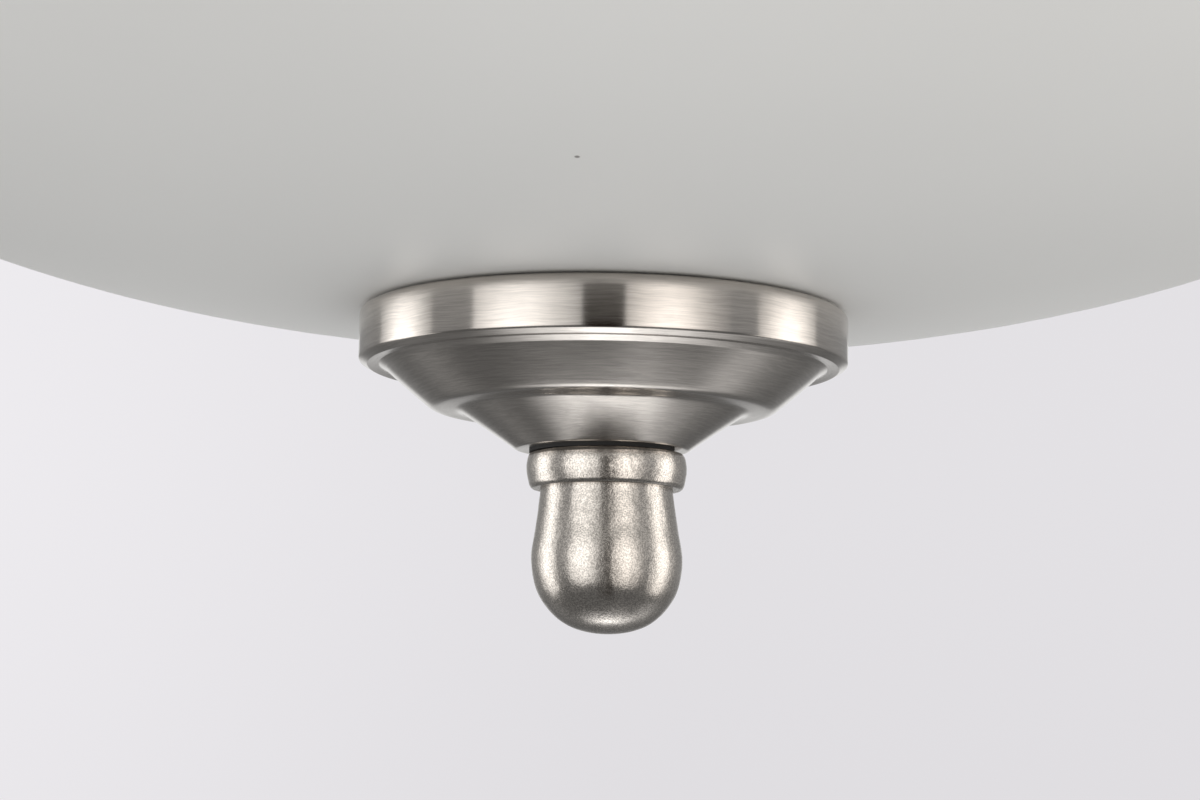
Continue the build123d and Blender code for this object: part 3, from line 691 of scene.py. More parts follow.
@dataclass(frozen=True)
class Softbox:
    """A tall soft lamp, brightest at its middle, at an azimuth measured from the camera's side towards +X."""

    name: str
    azimuth: float  # degrees, of its middle
    half_width: float  # degrees
    hot_azimuth: float  # degrees, of its brightest strip
    softness: float  # degrees from the brightest strip to where the light has fallen to six tenths
    strength: float
    warmth: Colour = (1.0, 0.985, 0.965)
    distance: float = 0.9  # metres
    low: float = -0.60  # metres, from the cap's level to its lower edge
    high: float = 1.0
    tall_softness: float = 0.50  # metres

    def hang(self, target: Vector) -> None:
        """Hangs the lamp facing the target.

        Args:
            target: the point that it faces, in metres.
        """
        out = self.bearing(self.azimuth)
        width = 2 * self.distance * math.tan(math.radians(self.half_width))
        height = self.high - self.low
        data = bpy.data.lights.new(self.name, "AREA")
        data.shape = "RECTANGLE"
        data.size = width
        data.size_y = height
        data.color = self.warmth
        data.energy = self.strength * math.pi * width * height
        data.use_nodes = True
        sketch = Sketch(data.node_tree, "ShaderNodeOutputLight")
        drift = math.tan(math.radians(self.hot_azimuth - self.azimuth)) * self.distance
        hot = target + out * self.distance + self.bearing(self.azimuth + 90) * drift
        local = sketch.aim("SUBTRACT", sketch.add("NewGeometry").outputs["Position"], hot)
        wide = self.distance * math.radians(self.softness)
        shares = (1 / wide, 1 / wide, 1 / self.tall_softness)
        off = sketch.aim("MULTIPLY", local, shares)
        squared = sketch.aim("DOT_PRODUCT", off, off, out="Value")
        fall = sketch.sum("EXPONENT", sketch.sum("MULTIPLY", squared, -0.5))
        sketch.finish(sketch.add("Emission", None, {"Strength": fall}).outputs["Emission"])
        lamp = bpy.data.objects.new(self.name, data)
        bpy.context.scene.collection.objects.link(lamp)
        lamp.location = target + out * self.distance + Vector((0, 0, (self.low + self.high) / 2))
        lamp.rotation_mode = "QUATERNION"
        lamp.rotation_quaternion = out.to_track_quat("Z", "Y")
        lamp.visible_camera = False

    @staticmethod
    def bearing(azimuth: float) -> Vector:
        """The level unit vector towards an azimuth in degrees."""
        turn = math.radians(azimuth)
        return Vector((math.sin(turn), -math.cos(turn), 0.0))


@dataclass(frozen=True)
class Pool:
    """A soft pool of light painted on the studio's paper, which only reflections see, at an azimuth and a
    height as the light sees them.
    """

    azimuth: float
    height: float
    spread: float  # degrees from its middle to where it has fallen to six tenths
    tone: float

    def middle(self) -> Vector:
        """The direction from the light to the pool's middle."""
        rise = math.radians(self.height)
        return Softbox.bearing(self.azimuth) * math.cos(rise) + Vector((0, 0, math.sin(rise)))

    def paint(self, sketch: Sketch, ray: Socket) -> Socket:
        """Works out what the pool adds where a ray from the light meets the paper.

        Args:
            sketch: the paper's material.
            ray: the direction from the light.

        Returns:
            The pool's tone there.
        """
        off = sketch.sum("SUBTRACT", sketch.aim("DOT_PRODUCT", ray, self.middle(), out="Value"), 1.0)
        fall = sketch.sum("EXPONENT", sketch.sum("DIVIDE", off, math.radians(self.spread) ** 2))
        return sketch.sum("MULTIPLY", fall, self.tone)


@dataclass(frozen=True)
class Studio:
    """A round pale studio: floor, cove and wall in one, the soft lamps, and the dark round the camera."""

    floor_drop: float = 2.2  # metres
    radius: float = 4.6
    cove_radius: float = 1.2
    wall_top: float = 3.6
    paper: Colour = (0.70, 0.685, 0.71)
    # painted light on the paper at its left
    lit_side: float = 0.12  # how much lighter the paper is at its left
    # painted reflections: what metal and glass see, painted on the paper for them alone
    room: float = 0.25  # what metal sees of the room at the sides
    floor: float = 0.08  # and of the floor
    backdrop: float = 0.80  # and of the lit paper behind the light
    fill: float = 0.385
    fill_drift: float = 0.18  # how much more of it comes from the right than from the middle
    fill_behind: float = 0.55
    hood_azimuth: float = 9.2  # degrees to each side that the camera and its stand take up
    # painted dark reflection: the tone of the sheet that stands for the camera and its stand
    hood_tone: Colour = (0.016, 0.011, 0.007)
    hood_distance: float = 0.8  # metres, in front of the light
    hood_low: float = -1.6
    hood_high: float = 0.75
    world_tone: float = 1.08  # of the air above the cove, times the paper's
    target: tuple[float, float, float] = (0.0, 0.0, -0.13)
    # painted pools of light on the paper, which only reflections see
    pools: tuple[Pool, ...] = (
        Pool(178.0, -68.5, 6.0, 2.7),
        Pool(152.0, -61.0, 5.5, 0.95),
        Pool(-155.0, -63.0, 5.5, 0.80),
        Pool(141.0, -70.0, 6.0, 0.45),
        Pool(-150.0, -73.0, 6.0, 0.35),
        Pool(128.0, -49.0, 7.5, 0.50),
        Pool(139.0, -34.0, 9.0, 0.07),
        Pool(-139.0, -34.0, 9.0, 0.10),
        Pool(95.0, -79.0, 5.5, 0.25),
    )
    lamps: tuple[Softbox, ...] = (
        Softbox("front_left_lamp", -35.4, 25.6, -40.0, 18.0, 1.78),
        Softbox("front_right_lamp", 34.4, 24.6, 28.8, 13.0, 1.88, (1.0, 0.955, 0.91)),
        Softbox("side_left_lamp", -104.5, 20.0, -104.5, 11.0, 2.15),
        Softbox("side_right_lamp", 94.0, 20.0, 94.0, 12.0, 2.1, (1.0, 0.965, 0.925)),
    )

    def build(self) -> None:
        """Builds the cove, the world, the lamps and the camera's hood."""
        self.cove()
        self.world()
        self.hood()
        for lamp in self.lamps:
            lamp.hang(Vector(self.target))

    def cove(self) -> None:
        """Makes the floor, cove and wall as one turned sheet."""
        bend = self.radius - self.cove_radius
        outline = [(0.0, -METRE * self.floor_drop)]
        for degrees in range(0, 91, 6):
            turn = math.radians(degrees)
            rise = self.cove_radius * (1 - math.cos(turn))
            across = bend + self.cove_radius * math.sin(turn)
            outline.append((METRE * across, METRE * (rise - self.floor_drop)))
        outline.append((METRE * self.radius, METRE * self.wall_top))
        wall = Lathe(segments=192, ring=False).turn("studio_cove", outline)
        sketch, material = Sketch.of_material("studio_paper")
        place = sketch.add("NewGeometry").outputs["Position"]
        ray = sketch.aim("NORMALIZE", sketch.aim("SUBTRACT", place, self.target))
        path = sketch.add("LightPath").outputs
        # reflections see the painted room and pools, diffuse light sees the soft fill, and the camera sees
        # the plain paper
        mirrored = sketch.sum("MAXIMUM", path["Is Glossy Ray"], path["Is Transmission Ray"])
        lit = sketch.mix(mirrored, self.soft_fill(sketch, ray), self.mirrored_room(sketch, ray))
        seen = sketch.mix(path["Is Camera Ray"], lit, self.plain_paper(sketch, ray))
        emission = sketch.add("Emission", None, {"Color": seen})
        paper = sketch.add("BsdfDiffuse", None, {"Color": (0.1, 0.1, 0.1)})
        both = sketch.add("AddShader")
        sketch.feed(both.inputs[0], emission.outputs["Emission"])
        sketch.feed(both.inputs[1], paper.outputs["BSDF"])
        sketch.finish(both.outputs["Shader"])
        wall.data.materials.append(material)

    def plain_paper(self, sketch: Sketch, ray: Socket) -> Socket:
        """The pale paper as the camera sees it, with painted light that makes it a little lighter at its left
        and its top.

        Args:
            sketch: the paper's material.
            ray: the direction from the light.

        Returns:
            Its colour.
        """
        parts = sketch.split(ray)
        # painted light on the paper: lighter at its left and its top
        left = sketch.ease(parts["X"], 0.05, -0.30, 1.0, 1.0 + self.lit_side)
        top = sketch.ease(parts["Z"], -0.08, 0.14, 0.97, 1.02)
        return sketch.scaled(self.paper, sketch.sum("MULTIPLY", left, top))

    def mirrored_room(self, sketch: Sketch, ray: Socket) -> Socket:
        """The studio as metal and glass see it, painted on the paper for their reflections alone: the lit
        paper behind, the dim room, and painted pools of light on the floor.

        Args:
            sketch: the paper's material.
            ray: the direction from the light.

        Returns:
            Its tone.
        """
        parts = sketch.split(ray)
        level = sketch.ease(parts["Z"], -0.45, 0.06, self.floor, self.room)
        middle = sketch.ease(sketch.sum("ABSOLUTE", parts["X"]), 0.33, 0.20)
        behind = sketch.ease(parts["Y"], 0.5, 0.8)
        above = sketch.ease(parts["Z"], -0.22, -0.04)
        window = sketch.sum("MULTIPLY", sketch.sum("MULTIPLY", middle, behind), above)
        tone_here = sketch.sum("MULTIPLY_ADD", window, self.backdrop - self.room, level)
        for pool in self.pools:
            tone_here = sketch.sum("ADD", tone_here, pool.paint(sketch, ray))
        return tone_here

    def soft_fill(self, sketch: Sketch, ray: Socket) -> Socket:
        """The plain light that the paper gives to pale surfaces, most of it from behind.

        Args:
            sketch: the paper's material.
            ray: the direction from the light.

        Returns:
            Its tone.
        """
        parts = sketch.split(ray)
        behind = sketch.ease(parts["Y"], 0.2, 0.9, 0.0, self.fill_behind)
        plain = sketch.sum("MULTIPLY_ADD", parts["X"], self.fill_drift, self.fill)
        return sketch.sum("ADD", behind, plain)

    def world(self) -> None:
        """Sets the air above the cove: as pale as the paper to the camera, and plain grey light otherwise."""
        world = bpy.data.worlds.new("studio_air")
        world.use_nodes = True
        sketch = Sketch(world.node_tree, "ShaderNodeOutputWorld")
        seen = sketch.add("LightPath").outputs["Is Camera Ray"]
        shade = sketch.mix(seen, (self.fill, self.fill, self.fill), tone(self.paper, self.world_tone))
        sketch.finish(sketch.add("Background", None, {"Color": shade}).outputs["Background"])
        bpy.context.scene.world = world

    def hood(self) -> None:
        """Stands a dark sheet where only the metal sees it: a painted dark reflection of the camera and its
        stand.
        """
        half = self.hood_distance * math.tan(math.radians(self.hood_azimuth))
        low, high = self.hood_low, self.hood_high
        sides = ((-half, low), (half, low), (half, high), (-half, high))
        corners = [Vector((x, -self.hood_distance, z)) for x, z in sides]
        card = new_piece("camera_hood", corners, [[0, 1, 2, 3]])
        sketch, material = Sketch.of_material("hood_dark_reflection")
        sketch.finish(sketch.add("Emission", None, {"Color": self.hood_tone}).outputs["Emission"])
        card.data.materials.append(material)
        card.visible_camera = False
        card.visible_diffuse = False
        card.visible_shadow = False


# The light's own sub-assemblies


@dataclass(frozen=True)
class Pan:
    """The spun pan with its gasket, blanket, bushings and rivets."""

    blanket_inner: float = 82.0
    blanket_outer: float = 148.5
    blanket_low: float = -19.7
    blanket_high: float = -9.7
    gasket_width: float = 6.0
    gasket_outer: float = 155.0
    gasket_low: float = -22.0
    gasket_high: float = -20.8
    tuft_height: float = 0.75
    tuft_scale: float = 90.0  # in a metre
    tuft_room: Point = (1.2, 0.9)  # what the blanket gives up for its tufts, in width and in height
    squareness: float = 5.0  # of the blanket's section
    gasket_bevel: tuple[float, float, float] = (0.3, 0.5, 0.4)  # its height, and its width below and above
    ripple: float = 0.12  # of the gasket's radius
    ripples: int = 37

    def build(self) -> None:
        """Dresses the pan and makes its soft parts."""
        nickel = Brushed(
            roughness=0.25,
            streak_length=12.0,
            streak_width=0.2,
            streak_depth=0.003,
            contrast=0.12,
            patchiness=0.03,
            radius=160.0,
        )
        dress("ceiling_pan", nickel.make("pan_nickel"))
        dress("wire_bushings", Moulded((0.030, 0.030, 0.034), 0.42, grain_depth=0.002).make("black_nylon"))
        dress("bracket_rivets", ZINC.make("rivet_zinc"))
        self.blanket()
        self.gasket()

    def blanket(self) -> None:
        """Makes the matted ring of glass wool that lies in the pan."""
        middle = (self.blanket_low + self.blanket_high) / 2
        half_height = (self.blanket_high - self.blanket_low) / 2 - self.tuft_room[1]
        half_width = (self.blanket_outer - self.blanket_inner) / 2 - self.tuft_room[0]
        centre = (self.blanket_outer + self.blanket_inner) / 2
        points = 96
        outline = []
        for step in range(points):
            turn = math.tau * step / points
            wide = math.copysign(abs(math.cos(turn)) ** (2 / self.squareness), math.cos(turn))
            tall = math.copysign(abs(math.sin(turn)) ** (2 / self.squareness), math.sin(turn))
            outline.append((centre + half_width * wide, middle + half_height * tall))
        blanket = Lathe(segments=420).turn("wool_blanket", outline)
        for vert, normal in zip(blanket.data.vertices, [v.normal.copy() for v in blanket.data.vertices]):
            tufts = noise.fractal(vert.co * self.tuft_scale, 1.0, 2.0, 4)
            vert.co += normal * mm(self.tuft_height) * max(min(tufts, 1.0), -1.0)
        stand_in(blanket, "fixture", "foil_blanket", GlassWool().make("glass_wool"), "insulation_blanket")

    def gasket(self) -> None:
        """Makes the foam ring between the pan and the glass, with bevelled edges and a faint ripple."""
        outer, low, high = self.gasket_outer, self.gasket_low, self.gasket_high
        inner = outer - self.gasket_width
        edge, under, over = self.gasket_bevel
        corners = [(inner, low + edge), (inner + under, low), (outer - under, low), (outer, low + edge)]
        corners += [(outer, high - edge), (outer - over, high), (inner + over, high), (inner, high - edge)]
        def wave(angle: float, _radius: float, _along: float) -> float:
            """Ripples the whole ring."""
            return self.ripple * math.sin(self.ripples * angle)

        gasket = Lathe(segments=480).turn("foam_gasket", corners, wave=wave)
        foam = Moulded((0.35, 0.35, 0.36), 0.85, grain=0.5, grain_depth=0.05, pores=0.7)
        stand_in(gasket, "fixture", "grey_foam", foam.make("grey_foam"), "rim_gasket")


@dataclass(frozen=True)
class Mounting:
    """The strap, ground screw, mounting screws, cap nuts and the threaded tube with its nuts."""

    screw_x: float = 63.75
    screw_radius: float = 2.08
    screw_head_radius: float = 3.9
    screw_head_low: float = -6.0
    screw_head_height: float = 2.3
    screw_end: float = -28.6
    screw_pitch: float = 0.794
    tube_radius: float = 5.14
    tube_bore: float = 3.2
    tube_pitch: float = 0.941
    tube_low: float = -150.157
    tube_high: float = -13.1
    tube_thread: float = 0.42  # the threads' depths
    screw_thread: float = 0.30
    tube_chamfer: float = 0.5
    head_side: float = 0.9  # the head's straight side, below its dome
    slot_width: float = 1.0
    slot_depth: float = 0.9
    fineness: float = 6.0  # rows in a thread's pitch

    def build(self) -> None:
        """Dresses the steel, and makes the threaded pieces."""
        dress("mounting_strap", ZINC.make("strap_zinc"))
        green = Moulded((0.04, 0.30, 0.10), 0.32, metallic=0.75, mottle=0.2)
        dress("ground_screw", green.make("green_screw"))
        for level in ("upper", "lower"):
            dress(f"tube_washer_{level}", ZINC.make("washer_zinc"))
            dress(f"tube_nut_{level}", ZINC.make("nut_zinc"))
        nickel = Brushed(radius=6.0, streak_length=2.0, roughness=0.2, stretch=0.3)
        dress("cap_nuts", nickel.make("nut_nickel"))
        self.tube()
        self.screws()

    def tube(self) -> None:
        """Makes the tube with its pipe thread from end to end."""
        low, high = self.tube_low, self.tube_high
        thread = Thread(self.tube_pitch, self.tube_thread, low, high)
        outline = [(self.tube_radius, along) for along in steps(low, high, self.tube_pitch / self.fineness)]
        outline += [(self.tube_bore, high), (self.tube_bore, low)]

        def wave(angle: float, radius: float, along: float) -> float:
            """Adds the thread and the ends' chamfer outside, and nothing in the bore."""
            if radius <= self.tube_bore:
                return 0.0
            chamfer = max(0.0, self.tube_chamfer - min(along - low, high - along))
            return min(thread.height(angle, radius, along), -chamfer)

        tube = Lathe(segments=56).turn("threaded_tube_cut", outline, wave=wave)
        stand_in(crease(tube, 50), "fixture", "zinc_steel", ZINC.make("tube_zinc"), "threaded_tube")

    def screws(self) -> None:
        """Makes the two mounting screws, each with a slotted round head."""
        thread = Thread(self.screw_pitch, self.screw_thread, self.screw_end, self.screw_head_low - 1.0)
        rows = steps(self.screw_end, self.screw_head_low, self.screw_pitch / self.fineness)
        top = self.screw_head_low + self.screw_head_height
        foot = self.screw_head_low + self.head_side
        head = []
        for degrees in range(0, 90, 10):
            turn = math.radians(degrees)
            head.append((self.screw_head_radius * math.cos(turn), foot + (top - foot) * math.sin(turn)))
        outline = [(0.0, self.screw_end), (self.screw_radius - 0.5, self.screw_end)]
        outline += [(self.screw_radius, along) for along in rows[3:]]
        outline += [(self.screw_head_radius, self.screw_head_low), *head, (0.0, top)]

        def wave(angle: float, radius: float, along: float) -> float:
            """Adds the thread on the shank alone."""
            return thread.height(angle, radius, along) if abs(radius - self.screw_radius) < 0.01 else 0.0

        for side in Side:
            place = Matrix.Translation((-side.way * mm(self.screw_x), 0, 0))
            screw = Lathe(segments=48, ring=False).turn(f"mounting_screw_{side.value}", outline, place, wave)
            self.slot_head(screw, -side.way * self.screw_x, top)
            stand_in(crease(screw, 40), "fixture", "zinc_steel", ZINC.make("screw_zinc"), "mounting_screws")

    def slot_head(self, screw: bpy.types.Object, centre: float, top: float) -> None:
        """Cuts the driver's slot across a head.

        Args:
            screw: the screw.
            centre: its place along X, in millimetres.
            top: the top of its head.
        """
        reach = Vector((self.slot_width / 2, 2 * self.screw_head_radius, self.slot_depth))
        middle = Vector((centre, 0.0, top))
        corners = [Vector(corner) * MILLIMETRE for corner in product(*zip(middle - reach, middle + reach))]
        faces = [[0, 1, 3, 2], [4, 6, 7, 5], [0, 4, 5, 1], [2, 3, 7, 6], [0, 2, 6, 4], [1, 5, 7, 3]]
        cutter = new_piece("slot_cutter", corners, faces)
        cut = screw.modifiers.new("driver_slot", "BOOLEAN")
        cut.operation = "DIFFERENCE"
        cut.object = cutter
        cut.solver = "EXACT"
        evaluated = screw.evaluated_get(bpy.context.evaluated_depsgraph_get())
        mesh = bpy.data.meshes.new_from_object(evaluated)
        screw.modifiers.clear()
        screw.data = mesh
        bpy.data.objects.remove(cutter)


@dataclass(frozen=True)
class LampHolder:
    """A porcelain lamp holder on its bracket, with its rolled shell, contact and screws."""

    side: Side
    mouth: float = -20.0  # its mouth along X, in millimetres, for the left one
    axis_y: float = 44.0
    axis_z: float = -61.8
    shell_outer: float = 13.8
    shell_wall: float = 0.5
    shell_front: float = -1.0  # from the mouth
    shell_back: float = -28.0
    shell_floor: float = 9.5
    thread_pitch: float = 3.629
    thread_depth: float = 0.45
    thread_press: float = 0.5  # how much of that depth goes into each face of the wall
    thread_ends: Point = (2.4, 0.5)  # where it starts, from the back, and ends, from the front
    side_start: float = 1.6  # where the straight side starts, from the back
    outer_bend: tuple[Point, ...] = ((1.0, 0.0), (0.3, 0.5))  # from side to floor: inwards, and forwards
    inner_bend: Point = (0.3, 0.9)
    inner_foot: float = 1.2
    fineness: float = 12.0  # rows in a thread's pitch

    @property
    def centre(self) -> Vector:
        """The middle of its mouth, in metres."""
        return Vector((mm(self.mouth), mm(self.axis_y), 0)) * self.side.way + Vector((0, 0, mm(self.axis_z)))

    def place(self) -> Matrix:
        """Carries a turned piece's own axis to the holder's axis, with its zero at the mouth."""
        tilt = Matrix.Rotation(self.side.way * math.pi / 2, 4, "Y")
        return Matrix.Translation(self.centre) @ tilt

    def build(self) -> None:
        """Dresses the holder's pieces and makes its rolled shell."""
        side = self.side.value
        glaze = Moulded((0.90, 0.885, 0.84), 0.22, mottle=0.04, grain=1.6, grain_depth=0.02, coat=0.8)
        brass = Moulded(
            (0.74, 0.56, 0.25), 0.3, metallic=1.0, mottle=0.12, mottle_size=2.0, grain_depth=0.003
        )
        dress(f"holder_body_{side}", glaze.make("porcelain_glaze"))
        dress(f"holder_bracket_{side}", ZINC.make("bracket_zinc"))
        dress(f"holder_screws_{side}", ZINC.make("holder_screw_zinc"))
        dress(f"terminal_screws_{side}", brass.make("terminal_brass"))
        dress(f"holder_contact_{side}", brass.make("contact_brass"))
        self.shell(brass)

    def shell(self, brass: Moulded) -> None:
        """Makes the shell with its rolled thread."""
        front, back = self.shell_front, self.shell_back
        rows = steps(back + self.side_start, front, self.thread_pitch / self.fineness)
        inner = self.shell_outer - self.shell_wall
        start, end = back + self.thread_ends[0], front - self.thread_ends[1]
        thread = Thread(self.thread_pitch, self.thread_depth, start, end, rolled=True)
        outline = [(self.shell_floor, back)]
        outline += [(self.shell_outer - inwards, back + forwards) for inwards, forwards in self.outer_bend]
        outline += [(self.shell_outer, along) for along in rows]
        outline += [(inner, along) for along in reversed(rows)]
        outline += [(inner - self.inner_bend[0], back + self.inner_bend[1])]
        outline += [(self.shell_outer - self.inner_foot, back + self.shell_wall)]
        outline += [(self.shell_floor, back + self.shell_wall)]

        def wave(angle: float, radius: float, along: float) -> float:
            """Presses the thread into both faces of the wall, inwards."""
            return thread.height(angle, radius, along) * self.thread_press if radius >= inner else 0.0

        shell = Lathe(segments=96).turn(f"rolled_shell_{self.side.value}", outline, self.place(), wave)
        name = f"holder_shell_{self.side.value}"
        stand_in(crease(shell, 50), "fixture", "brass_shell", brass.make("shell_brass"), name)


@dataclass(frozen=True)
class Bulb:
    """A bulb with a rolled screw base, a white housing and an opal diffuser."""

    holder: LampHolder
    base_radius: float = 13.0
    base_wall: float = 0.4
    base_back: float = -20.0
    base_front: float = 1.2
    insulator_radius: float = 9.0
    thread_depth: float = 0.75
    thread_ends: Point = (1.5, 3.0)  # where it starts, from the back, and ends, from the front
    side_start: float = 1.2  # where the straight side starts, from the back
    outer_bend: tuple[Point, ...] = ((0.8, 0.0), (0.2, 0.45))  # from side to floor: inwards, and forwards
    inner_foot: float = 1.1

    def build(self) -> None:
        """Dresses the bulb's pieces and makes its screw base."""
        side = self.holder.side.value
        white = Moulded((0.84, 0.84, 0.825), 0.42, mottle=0.03, grain=0.4, grain_depth=0.003)
        dress(f"bulb_housing_{side}", white.make("housing_white"))
        dress(f"bulb_diffuser_{side}", Opal((0.88, 0.88, 0.86), 0.35, seeds=0.0).make("opal_diffuser"))
        dress(f"bulb_insulator_{side}", Moulded((0.02, 0.02, 0.024), 0.15, coat=0.5).make("black_glass"))
        solder = Moulded((0.60, 0.60, 0.61), 0.34, metallic=1.0, mottle=0.2, grain=0.8, grain_depth=0.03)
        dress(f"bulb_tip_{side}", solder.make("solder"))
        self.base()

    def base(self) -> None:
        """Makes the nickel-plated base with its rolled thread."""
        back, front = self.base_back, self.base_front
        pitch = self.holder.thread_pitch
        rows = steps(back + self.side_start, front, pitch / self.holder.fineness)
        inner = self.base_radius - self.base_wall
        start, end = back + self.thread_ends[0], front - self.thread_ends[1]
        thread = Thread(pitch, self.thread_depth, start, end, rolled=True)
        outline = [(self.insulator_radius, back)]
        outline += [(self.base_radius - inwards, back + forwards) for inwards, forwards in self.outer_bend]
        outline += [(self.base_radius, along) for along in rows]
        outline += [(inner, along) for along in (front, back + self.side_start)]
        outline += [(self.base_radius - self.inner_foot, back + self.base_wall)]
        outline += [(self.insulator_radius, back + self.base_wall)]

        def wave(angle: float, radius: float, along: float) -> float:
            """Rolls the thread into the outer face."""
            return thread.height(angle, radius, along) if radius > inner + 0.1 else 0.0

        side = self.holder.side.value
        base = Lathe(segments=96).turn(f"rolled_base_{side}", outline, self.holder.place(), wave)
        finish = Moulded(
            (0.70, 0.67, 0.63), 0.2, metallic=1.0, mottle=0.06, mottle_size=2.0, grain_depth=0.0015
        )
        plate = finish.make("nickel_plate")
        stand_in(crease(base, 50), f"bulb_{side}", "nickel_plate", plate, f"bulb_base_{side}")


@dataclass(frozen=True)
class Bowl:
    """The satin opal bowl and the rubber grommet in its foot."""

    def build(self) -> None:
        """Dresses the bowl and its grommet."""
        dress("glass_bowl", Opal().make("opal_glass"))
        dress("bowl_grommet", Moulded((0.028, 0.028, 0.028), 0.62, grain_depth=0.006).make("black_rubber"))


@dataclass(frozen=True)
class CapAndFinial:
    """The stepped cap, its fibre washer and the cast finial."""

    cap_top: float = -121.807
    cap_radius: float = 32.0
    cap_curl: float = 2.0  # the edge turned in under the glass
    cap_sheet: float = 0.6
    tube_hole: float = 5.74
    band_foot: Point = (32.0, 6.68)  # radius, and drop from the cap's top
    ledges: tuple[Point, ...] = ((31.42, 6.98), (30.85, 7.3), (29.3, 7.2))  # two fine facets and a groove
    first_cone_top: Point = (28.3, 7.8)
    first_cone_foot: Point = (22.4, 12.8)
    second_cone_top: Point = (18.8, 12.93)
    hub: Point = (11.3, 17.95)
    edge_bend: float = 1.05
    band_bend: float = 0.45
    ledge_bend: float = 0.2
    first_top_bend: float = 0.9
    first_foot_bend: float = 2.3
    second_top_bend: float = 2.2
    hub_bend: float = 1.1
    swell: float = 0.08  # how far the first cone bulges
    sag: float = 0.13  # and how far the second one is hollowed
    run_length: float = 0.6  # of the cap's outline between two points
    collar_top: float = -140.157
    collar_edge: float = 10.1
    collar_radius: float = 10.45
    collar_foot: float = 10.0
    collar_height: float = 4.7
    collar_round: float = 0.45
    collar_lip: tuple[Point, ...] = ((0.2, 0.08), (0.05, 0.24))  # its upper edge: inwards, and down
    collar_heel: tuple[Point, ...] = ((0.08, 0.14), (0.3, 0.0))  # its lower edge: inwards, and up
    collar_skew: float = 0.8  # how far its bulge sits above its middle; 1 is none
    bore_chamfer: float = 0.5
    rows: float = 0.3  # between the mesh's rows on the collar's top and in the bore
    neck_radius: float = 8.65
    neck_length: float = 0.4
    bore_radius: float = 5.19
    bore_depth: float = 14.0
    neck_flare: float = 6.0  # degrees, outwards from the neck
    knob: tuple[Point, ...] = ((9.2, 9.4), (9.82, 14.3), (8.73, 18.8), (5.9, 21.95), (0.0, 23.5))
    unevenness: float = 0.03
    lumps: tuple[Point, ...] = ((0.55, 1.0), (1.9, 0.45), (4.5, 0.22))  # in a millimetre, and how high
    off_centre: float = 0.62  # how far the casting's outside stands off its bore, towards +X
    lean: float = 0.015  # and how much further for each millimetre down

    def build(self) -> None:
        """Makes the cap and the finial, and dresses the washer."""
        self.cap()
        dress("hub_washer", Moulded((0.018, 0.018, 0.018), 0.7).make("black_fibre"))
        self.finial()

    def cap(self) -> None:
        """Makes the cap as one spun sheet, with its rolled ledges and soft bends."""
        rim = [(self.cap_radius - self.cap_curl, 0.0), (self.cap_radius, 0.0), self.band_foot]
        cones = [self.first_cone_top, self.first_cone_foot, self.second_cone_top, self.hub]
        end = (self.tube_hole, self.hub[1])
        soft = [self.first_top_bend, self.first_foot_bend, self.second_top_bend, self.hub_bend]
        ledge_bends = [self.ledge_bend] * len(self.ledges)
        bends = [self.edge_bend, self.band_bend, *ledge_bends, *soft]
        outside = rounded([*rim, *self.ledges, *cones, end], bends)
        inside = rounded([*rim, *cones, end], [self.edge_bend, self.edge_bend, *soft])
        sheet = [*self.bulged(outside), *reversed(shifted(self.bulged(inside), self.cap_sheet))]
        outline = [(radius, self.cap_top - drop) for radius, drop in sheet]
        cap = Lathe(segments=320).turn("spun_cap", outline)
        nickel = Brushed().make("cap_nickel")
        stand_in(crease(cap, 50), "cap", "brushed_nickel", nickel, "stepped_cap")

    def bulged(self, outline: Sequence[Point]) -> list[Point]:
        """Divides long runs of an outline, bulges the first cone and hollows the second.

        Args:
            outline: points of (radius, drop).

        Returns:
            The finer outline.
        """
        made = [outline[0]]
        for (radius, drop), (next_radius, next_drop) in zip(outline, outline[1:]):
            run = math.hypot(next_radius - radius, next_drop - drop)
            count = max(1, round(run / self.run_length))
            for step in range(1, count + 1):
                share = step / count
                made.append((radius + (next_radius - radius) * share, drop + (next_drop - drop) * share))
        for (_, top), (_, foot), bulge in (
            (self.first_cone_top, self.first_cone_foot, self.swell),
            (self.second_cone_top, self.hub, -self.sag),
        ):
            shares = [min(max((drop - top) / (foot - top), 0.0), 1.0) for _, drop in made]
            made = [(radius + 4 * bulge * s * (1 - s), drop) for (radius, drop), s in zip(made, shares)]
        return made

    def body_outline(self) -> list[Point]:
        """The knob below its collar, as a smooth curve from neck to tip, measured from the collar's top."""
        neck = (self.neck_radius, self.collar_height + self.neck_length)
        outwards = (math.tan(math.radians(self.neck_flare)), 1.0)
        return smooth_curve([neck, *self.knob], outwards, (-1.0, 0.0), 60)

    def finial(self) -> None:
        """Makes the finial, with the slightly uneven skin of a casting."""
        foot = self.collar_height
        drops: list[Point] = [(0.0, self.bore_depth), (self.bore_radius, self.bore_depth)]
        bore = steps(self.bore_chamfer, self.bore_depth - 0.2, self.rows)
        drops += [(self.bore_radius, drop) for drop in reversed(bore)]
        drops += [(self.bore_radius + self.bore_chamfer, 0.0)]
        top = steps(self.bore_radius + 0.8, self.collar_edge - self.collar_round, self.rows)
        drops += [(radius, 0.0) for radius in top]
        bulge = self.collar_radius - self.collar_foot
        side = []
        for share in steps(0.11, 0.90, 0.03):
            out = math.sin(math.pi * share**self.collar_skew)
            side.append((self.collar_foot + bulge * out, foot * share))
        drops += [(self.collar_edge - inwards, down) for inwards, down in self.collar_lip]
        drops += side
        drops += [(self.collar_foot - inwards, foot - up) for inwards, up in self.collar_heel]
        under = steps(self.collar_foot - self.collar_round, self.neck_radius, self.rows / 2)
        drops += [(radius, foot) for radius in under]
        drops += [(self.neck_radius, foot + self.neck_length / 2), *self.body_outline()]
        outline = [(radius, self.collar_top - drop) for radius, drop in drops]

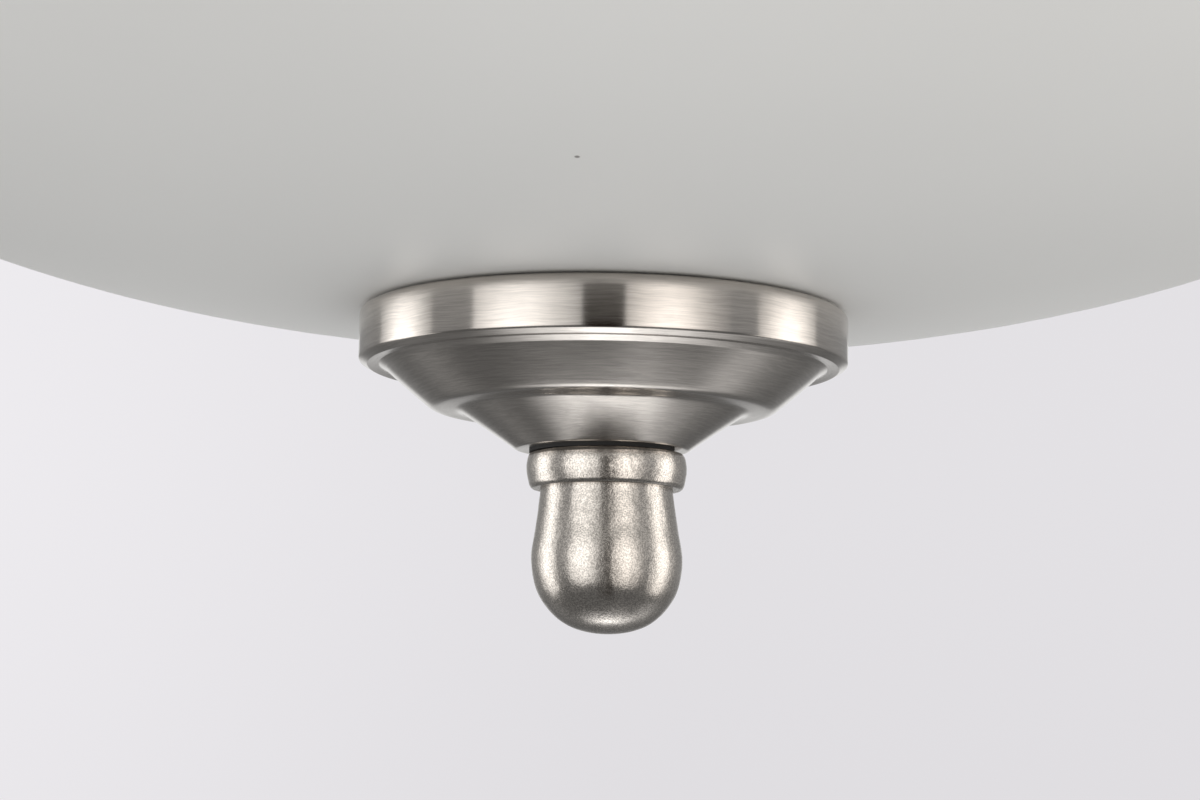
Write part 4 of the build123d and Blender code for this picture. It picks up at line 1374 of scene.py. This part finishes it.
        def wave(angle: float, radius: float, along: float) -> float:
            """Adds the casting's unevenness outside, and nothing in the bore."""
            if radius < self.bore_radius + 0.6 and along > self.collar_top - self.bore_depth - 0.1:
                return 0.0
            spot = Vector((radius * math.cos(angle), radius * math.sin(angle), along))
            swell = sum(height * noise.noise(spot * rate) for rate, height in self.lumps)
            return self.unevenness * swell * min(1.0, radius / 2)

        knob = Lathe(segments=288, ring=False).turn("cast_finial", outline, wave=wave)
        bore_wall = mm(self.bore_radius + self.unevenness)
        for vert in knob.data.vertices:
            drop = self.collar_top - vert.co.z / MILLIMETRE
            if vert.co.xy.length > bore_wall or drop > self.bore_depth + self.unevenness:
                vert.co.x += mm(self.off_centre + self.lean * drop)
        stand_in(crease(knob, 60), "finial_knob", "cast_nickel", Cast().make("cast_nickel"), "finial")


def smooth_curve(points: Sequence[Point], first: Point, last: Point, count: int) -> list[Point]:
    """A smooth curve through points, with the directions at its ends given.

    Args:
        points: what the curve goes through.
        first: direction at the first point.
        last: direction at the last point.
        count: how many points to return, less one.

    Returns:
        Points evenly spread over the curve's spans.
    """
    spots = [Vector(point) for point in points]
    chords = [(after - before).length for before, after in zip(spots, spots[1:])]
    slopes = [Vector(first).normalized()]
    for before, here, after, back, on in zip(spots, spots[1:], spots[2:], chords, chords[1:]):
        into = (here - before) / back
        out = (after - here) / on
        slopes.append((into * on + out * back) / (back + on))
    slopes.append(Vector(last).normalized())
    total = sum(chords)
    made = [tuple(spots[0])]
    for index, chord in enumerate(chords):
        spans = max(2, round(count * chord / total))
        for step in range(1, spans + 1):
            t = step / spans
            start_share = 2 * t**3 - 3 * t**2 + 1
            end_share = 3 * t**2 - 2 * t**3
            start_pull = (t**3 - 2 * t**2 + t) * chord
            end_pull = (t**3 - t**2) * chord
            spot = spots[index] * start_share + spots[index + 1] * end_share
            spot += slopes[index] * start_pull + slopes[index + 1] * end_pull
            made.append((max(spot.x, 0.0), spot.y))
    made[-1] = tuple(spots[-1])
    return made


ZINC = Moulded(
    (0.66, 0.665, 0.68), 0.3, metallic=1.0, mottle=0.12, mottle_size=2.5, grain=0.3, grain_depth=0.003
)


def main() -> None:
    """Builds the camera, the studio and each sub-assembly in order."""
    logging.basicConfig(level=logging.INFO, format="%(message)s")
    bpy.context.scene.view_settings.view_transform = "Standard"
    PhotoCamera().build()
    parts = [Studio(), Pan(), Mounting()]
    for side in Side:
        holder = LampHolder(side)
        parts += [holder, Bulb(holder)]
    for part in [*parts, Bowl(), CapAndFinial()]:
        part.build()
        LOG.info("%s done", type(part).__name__)


if __name__ == "__main__":
    main()
